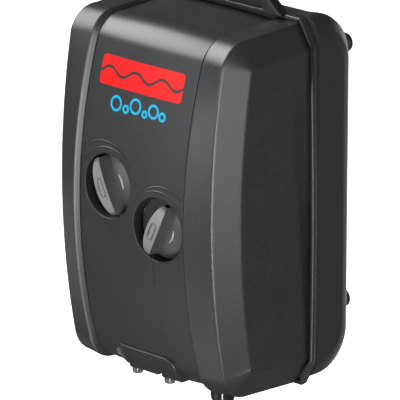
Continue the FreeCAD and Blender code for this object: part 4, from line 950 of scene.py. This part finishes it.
class AIRPUMP_OT_fittings(PumpOperator, bpy.types.Operator):
    """Outlet nozzles, rubber feet, cover screws and the lid of the air intake"""
    bl_idname = "air_pump.fittings"
    bl_label = "Nozzles, feet, screws and lid"

    def execute(self, context):
        for side, x in NOZZLES.items():
            skin = Skin()
            tip = softened([(1.3, 6.0), (1.3, 0.0), (2.1, 0.0), (2.4, 0.9), (2.4, 15.5),
                            (3.6, 15.5), (3.6, 18.5), (2.4, 18.5), (2.4, 25.5), (1.3, 25.5),
                            (1.3, 6.0)], 0.2)
            skin.turning(tip, 48, "up", (x, -37.8, -77.5))
            skin.piece("outlet_" + side, plastic("nozzle", (0.09, 0.09, 0.09), 0.12, 0.5, 0.004),
                       "housing", ["air_nozzle_" + side], "nozzle")
        feet, screws = Skin(), Skin()
        pad = softened([(0.0, -1.2), (3.95, -1.2), (3.95, 0.3), (3.5, 0.9), (3.5, 1.5), (3.95, 2.1),
                        (3.95, 3.7), (3.2, 4.4), (1.6, 4.4), (1.2, 3.9), (0.0, 3.9)], 0.25)
        for side in (-1, 1):
            for z in (60.3, -49.0):
                feet.turning(pad, 48, "back", (side * 40.0, sizes().rear_depth, z))
            for z in (43.0, -63.0):
                screws.grid(turn_to(self.screw_head(), "back", (side * 41.0, 25.9, z)), around=True)
        feet.piece("wall_buffers", plastic("rubber", colours().rubber, 0.6, 0.35, 0.02),
                   "housing", ["wall_feet"], "rubber")
        screws.piece("screw_heads", steel_finish(), "housing", ["cover_screws"], "steel")
        lid = Skin()
        lid.grid(turn_to(self.lid(), "back", (0.0, 26.4, -40.0)))
        lid.piece("filter_lid", plastic("rear shell", colours().rear, 0.5, 0.45, 0.02),
                  "housing", ["intake_lid"], "housing")
        return {"FINISHED"}

    def screw_head(self):
        """Turned domed head; a cross-shaped socket is pressed in with tapering arms."""
        radius = np.concatenate([[3.2, 3.2, 3.1], np.linspace(2.9, 0.02, 24)])[:, None]
        crown = 0.3 + 0.35 * (1 - (np.linspace(2.9, 0, 24) / 2.9) ** 2)
        height = np.concatenate([[-2.0, 0.0, 0.25], crown])[:, None]
        angle = np.arange(72) / 72 * 2 * math.pi
        x, y = radius * np.cos(angle), radius * np.sin(angle)
        arm, reach = np.minimum(np.abs(x), np.abs(y)), np.maximum(np.abs(x), np.abs(y))
        sunk = np.clip((0.42 - arm) / 0.15, 0, 1) * np.clip((1.9 - reach) / 0.3, 0, 1)
        return xyz(x, y, height - 1.2 * sunk)

    def lid(self):
        """Flat lid with round corners. Slots between its bars and a finger notch are sunk into it."""
        line = np.linspace(-1, 1, 89)
        u, v = np.meshgrid(line, line)
        bend = np.sqrt(np.clip(1 - 0.13 * np.minimum(u * u, v * v) ** 4, 0, 1))
        x, y = -10.8 * u * bend, 10.8 * v * bend
        edge = np.maximum(np.abs(u), np.abs(v))
        up = 1.25 - 1.3 * np.clip((edge - 0.965) / 0.035, 0, 1) ** 2
        slot = np.clip((0.55 - np.abs((y + 15.4) % 2.8 - 1.4)) / 0.25, 0, 1)
        slot = (slot * np.clip((7.6 - np.abs(x)) / 0.4, 0, 1)
                * np.clip((7.4 - np.abs(y)) / 0.4, 0, 1))
        notch = np.clip((2.6 - np.hypot(x, (y + 9.6) * 1.6)) / 1.2, 0, 1)
        return xyz(x, y, up - 1.1 * slot - 0.7 * notch)


CORD_ROUTE = [(29.0, -29.7, -103.0), (29.2, -28.8, -117.0), (29.8, -25.8, -131.0),
              (33.6, -22.8, -144.0)]
TAIL_ROUTE = [(38.7, -15.8, -172.0), (38.9, -16.8, -184.5), (38.2, -17.8, -196.0)]
# Middle of the coil, the radius round which its turns lie, and how many turns it has.
COIL, COIL_RADIUS, COIL_TURNS = (8.0, -20.0, -157.0), 30.0, 7


def cord_points():
    """Control points of the lead: down from its sleeve, round the coil and on to the plug.

    The turns run clockwise. Each keeps one of eight places in the coil's section and slips to the
    next one over a short arc, one after the other, so that no two turns meet.
    """
    pitch = 2 * sizes().lead_radius + 0.02
    rows = (np.arange(4) - 1.5) * pitch
    outer, inner = COIL_RADIUS + pitch / 2, COIL_RADIUS - pitch / 2
    places = [(outer, rows[1]), (outer, rows[0]), (inner, rows[0]), (inner, rows[1]),
              (inner, rows[2]), (inner, rows[3]), (outer, rows[3]), (outer, rows[2])]
    start, per_turn = 14.0, 18
    turned_by = np.arange(0, COIL_TURNS * 360 + 12, 360 / per_turn)
    spot = np.zeros((len(turned_by), 2))
    for index, angle in enumerate(turned_by):
        place = 0.0
        for slip in range(COIL_TURNS):
            at = slip * 360 + 330 - 36 * slip
            place += float(np.clip((angle - at) / 30, 0, 1))
        low = int(min(COIL_TURNS - 1, math.floor(place)))
        share = place - low
        share = share * share * (3 - 2 * share)
        spot[index] = np.array(places[low]) * (1 - share) + np.array(places[low + 1]) * share
    heading = np.radians(start - turned_by)
    coil = xyz(spot[:, 0] * np.cos(heading), spot[:, 1], spot[:, 0] * np.sin(heading)) + COIL
    return np.concatenate([CORD_ROUTE, coil, TAIL_ROUTE])


class AIRPUMP_OT_lead(PumpOperator, bpy.types.Operator):
    """Mains lead with its ribbed sleeve, tied coil and plug"""
    bl_idname = "air_pump.lead"
    bl_label = "Mains lead"

    def execute(self, context):
        points = row_frame(cord_points())
        curve = bpy.data.curves.new("mains_lead", "CURVE")
        curve.dimensions = "3D"
        curve.resolution_u = 4
        curve.bevel_depth, curve.bevel_resolution = sizes().lead_radius / 1000, 5
        curve.use_fill_caps = True
        spline = curve.splines.new("NURBS")
        spline.points.add(len(points) - 1)
        spline.points.foreach_set("co", np.column_stack([points, np.ones(len(points))]).ravel())
        spline.order_u = 3
        spline.use_endpoint_u = True
        lead = bpy.data.objects.new("mains_lead", curve)
        context.scene.collection.objects.link(lead)
        curve.materials.append(plastic("lead", colours().rubber, 0.42, 0.6, 0.01))
        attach(lead, "housing")
        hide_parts("power_cord", "cord_coil", "cord_tail")
        2 * sizes().lead_radius / 1000
        self.sleeve()
        self.tie()
        self.plug()
        return {"FINISHED"}

    def sleeve(self):
        """Ribbed taper: the radius falls along the sleeve and dips at every groove."""
        end = 26.0
        down = np.linspace(0, end, 131)
        radius = 4.75 - 1.2 * (down / end)
        phase = (down / 3.6) % 1.0
        dip = np.clip(np.abs(phase - 0.5) * -8 + 1.6, 0, 1)
        radius = radius - 0.75 * dip * (down > 2.5) * (down < 24.5)
        radius = radius + 0.55 * np.clip((4.0 - down) / 1.2, 0, 1)
        profile = np.concatenate([[(0.5, 1.0), (4.6, 1.0), (5.3, 0.5)],
                                  np.column_stack([radius, -down]), [(2.85, -end)]])
        skin = Skin()
        skin.turning(profile, 56, "up", np.array(CORD_ROUTE[0]) + (0, 0, end))
        return skin.piece("lead_sleeve", gloss_finish(), "housing", ["strain_relief"], "cord")

    def tie(self):
        """Flat strap round the section of the coil: a rounded box ring with thickness."""
        wide, deep = squared(np.linspace(0, 2 * math.pi, 56, endpoint=False), 0.42)
        rings = []
        for height, grow in ((-4.2, 0.0), (-4.4, 0.35), (-4.4, 0.7), (-4.2, 0.95), (4.2, 0.95),
                             (4.4, 0.7), (4.4, 0.35), (4.2, 0.0)):
            rings.append(xyz(wide * (6.35 + grow) - COIL_RADIUS, deep * (11.7 + grow), height)
                         + COIL)
        skin = Skin()
        skin.grid(np.stack(rings), around=True, along=True)
        return skin.piece("coil_strap", plastic("strap", (0.03, 0.03, 0.03), 0.7, 0.3, 0.03),
                          "housing", ["cord_tie"], "cord")

    def plug(self):
        """Rounded box sections of changing width, carried down the plug, with a waist to grip."""
        x, y, z = TAIL_ROUTE[-1]
        down = np.array([0.0, 0.6, 3.0, 5.0, 5.6, 8.0, 8.6, 11.0, 11.6, 12.4, 14.0, 16.5, 20.0,
                         25.0, 30.0, 34.0, 36.5, 37.6, 38.0])
        wide = np.array([3.2, 3.5, 3.9, 4.1, 3.4, 3.6, 4.5, 4.7, 4.2, 5.2, 6.2, 6.7, 6.2, 5.7, 6.0,
                         6.7, 6.8, 6.6, 6.0])
        deep = np.array([3.2, 3.5, 3.9, 4.1, 3.4, 3.6, 4.5, 4.7, 4.2, 6.6, 9.4, 11.4, 11.8, 11.0,
                         11.6, 12.7, 12.95, 12.7, 12.0])
        square = np.interp(down, [0, 11, 16, 38], [1.0, 1.0, 0.5, 0.42])
        across, ahead = squared(np.linspace(0, 2 * math.pi, 72, endpoint=False), square[:, None])
        across, ahead = across * wide[:, None], ahead * deep[:, None]
        rings = xyz(across + x, ahead + y, z - down[:, None])
        middle = np.broadcast_to(np.array([x, y, z - down[-1]]), (1, 72, 3))
        top = xyz(across[:1] * 0.4 + x, ahead[:1] * 0.4 + y, z)
        skin = Skin()
        skin.grid(np.concatenate([top, rings, (rings[-1:] + middle) / 2, middle]), around=True)
        return skin.piece("mains_plug", plastic("plug", colours().rubber, 0.4, 0.5, 0.012),
                          "housing", ["plug_body"], "plug")


class AIRPUMP_OT_inner_parts(PumpOperator, bpy.types.Operator):
    """Finishes of the parts that keep their shape from the frame"""
    bl_idname = "air_pump.inner_parts"
    bl_label = "Inner parts"

    def execute(self, context):
        for node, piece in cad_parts.items():
            if piece.hide_render:
                continue
            make, *recipe = next((row[1:] for row in inner_finishes()
                                  if any(word in node for word in row[0].split())), (None,))
            if make is None:
                raise RuntimeError("no finish for " + node)
            piece.data.materials.clear()
            piece.data.materials.append(make(*recipe))
        return {"FINISHED"}


# Camera: round to the right and up in degrees, distance and shift right and up in metres, lens.
CAMERA = SimpleNamespace(round=44.4, rise=17.4, away=1.87095, right=0.00943, up=0.00863,
                         lens=409.15)
# Floor: radius of its flat part, radius of its bend and height of its wall's top, in metres.
FLOOR_FLAT, FLOOR_BEND, WALL_TOP = 4.8, 1.2, 5.0
# Lamps: name, way from the pump, distance, width and height in metres, power in watts.
LAMPS = (
    ("key", (0.9, -0.55, 0.0), 1.6, (1.2, 1.1), 20.0),
    ("edge", (0.62, -0.78, -0.25), 1.9, (0.2, 1.2), 22.0),
    ("front", (-0.25, -1.0, 0.1), 1.9, (1.2, 1.0), 11.0),
    ("low", (-0.35, -0.9, -0.75), 1.7, (1.0, 0.7), 2.5),
    ("rear", (-0.08, 0.97, -0.25), 1.2, (0.3, 0.9), 5.0),
    ("left", (-0.93, 0.33, -0.25), 1.9, (0.3, 1.2), 7.0),
    ("top", (-0.67, -0.28, 0.66), 1.6, (1.5, 0.9), 38.0),
)


class AIRPUMP_OT_stage(PumpOperator, bpy.types.Operator):
    """Pale floor that rises all round like a bowl, soft studio light and the camera"""
    bl_idname = "air_pump.stage"
    bl_label = "Stage"

    def execute(self, context):
        scene = context.scene
        camera = bpy.data.cameras.new("camera")
        camera.lens, camera.sensor_width = CAMERA.lens, 36.0
        camera.clip_start, camera.clip_end = 0.05, 50.0
        eye = bpy.data.objects.new("camera", camera)
        scene.collection.objects.link(eye)
        middle = Vector((0, 0, -HANG / 1000))
        turn, rise = math.radians(CAMERA.round), math.radians(CAMERA.rise)
        back = Vector((math.sin(turn) * math.cos(rise), -math.cos(turn) * math.cos(rise),
                       math.sin(rise)))
        right = Vector((math.cos(turn), math.sin(turn), 0.0))
        up = back.cross(right)
        eye.matrix_world = Matrix.Translation(
            back * CAMERA.away - right * CAMERA.right - up * CAMERA.up + middle
        ) @ Matrix((right, up, back)).transposed().to_4x4()
        scene.camera = eye
        low = CAD_BOX[0][2] - 0.001
        bend = np.linspace(0, math.pi / 2, 24)[1:]
        curve = np.column_stack([FLOOR_FLAT + FLOOR_BEND * np.sin(bend),
                                 low + FLOOR_BEND - FLOOR_BEND * np.cos(bend)])
        points = turned(np.concatenate([[(0.0, low), (FLOOR_FLAT, low)], curve,
                                        [(FLOOR_FLAT + FLOOR_BEND, WALL_TOP)]]), 96)
        points = np.concatenate([points, points[:, :1]], axis=1)
        mesh = bpy.data.meshes.new("floor")
        index = np.arange(points[..., 0].size).reshape(points.shape[:2])
        mesh.from_pydata(points.reshape(-1, 3).tolist(), [],
                         quads_of(index).reshape(-1, 4).tolist())
        floor = bpy.data.objects.new("floor", mesh)
        scene.collection.objects.link(floor)
        mesh.polygons.foreach_set("use_smooth", np.ones(len(mesh.polygons), bool))
        finish = Finish("floor", colours().floor, 0.9)
        finish.put(finish.shader.inputs["Emission Color"], (1.0, 1.0, 1.0, 1.0))
        finish.put(finish.shader.inputs["Emission Strength"], 0.75)
        mesh.materials.append(finish.material)
        floor.visible_diffuse = floor.visible_glossy = floor.visible_shadow = False
        world = bpy.data.worlds.new("studio")
        scene.world = world
        world.use_nodes = True
        glow = world.node_tree.nodes["Background"].inputs
        glow[0].default_value, glow[1].default_value = (1.0, 1.0, 1.0, 1.0), 0.09
        scene.view_settings.view_transform = "Standard"
        for name, way, reach, size, power in LAMPS:
            lamp = bpy.data.lights.new(name, "AREA")
            lamp.shape, lamp.size, lamp.size_y, lamp.energy = "RECTANGLE", *size, power
            spot = bpy.data.objects.new(name, lamp)
            scene.collection.objects.link(spot)
            spot.visible_camera = False
            way = Vector(way).normalized()
            spot.matrix_world = (Matrix.Translation(way * reach + middle)
                                 @ way.to_track_quat("Z", "Y").to_matrix().to_4x4())
        return {"FINISHED"}


# ---- add-on

class AIRPUMP_PT_panel(bpy.types.Panel):
    """Shows the sizes, the colours and a button for each builder of the pump's pieces"""
    bl_idname = "AIRPUMP_PT_panel"
    bl_label = "Air pump"
    bl_space_type = "VIEW_3D"
    bl_region_type = "UI"
    bl_category = "Air pump"

    def draw(self, context):
        for group in (context.scene.pump_sizes, context.scene.pump_colours):
            for name in group.__annotations__:
                self.layout.prop(group, name)
        for kind in OPERATORS:
            self.layout.operator(kind.bl_idname)


OPERATORS = [AIRPUMP_OT_stage, AIRPUMP_OT_lead, AIRPUMP_OT_front_cover, AIRPUMP_OT_rear_cover,
             AIRPUMP_OT_hanging_loop, AIRPUMP_OT_knobs, AIRPUMP_OT_fittings, AIRPUMP_OT_inner_parts]
CLASSES = [PumpSizes, PumpColours, *OPERATORS, AIRPUMP_PT_panel]


def register():
    for kind in CLASSES:
        bpy.utils.register_class(kind)
    bpy.types.Scene.pump_sizes = bpy.props.PointerProperty(type=PumpSizes)
    bpy.types.Scene.pump_colours = bpy.props.PointerProperty(type=PumpColours)


def unregister():
    del bpy.types.Scene.pump_sizes, bpy.types.Scene.pump_colours
    for kind in reversed(CLASSES):
        bpy.utils.unregister_class(kind)


def main():
    register()
    for kind in OPERATORS:
        group, name = kind.bl_idname.split(".")
        getattr(getattr(bpy.ops, group), name)()


if __name__ == "__main__":
    main()
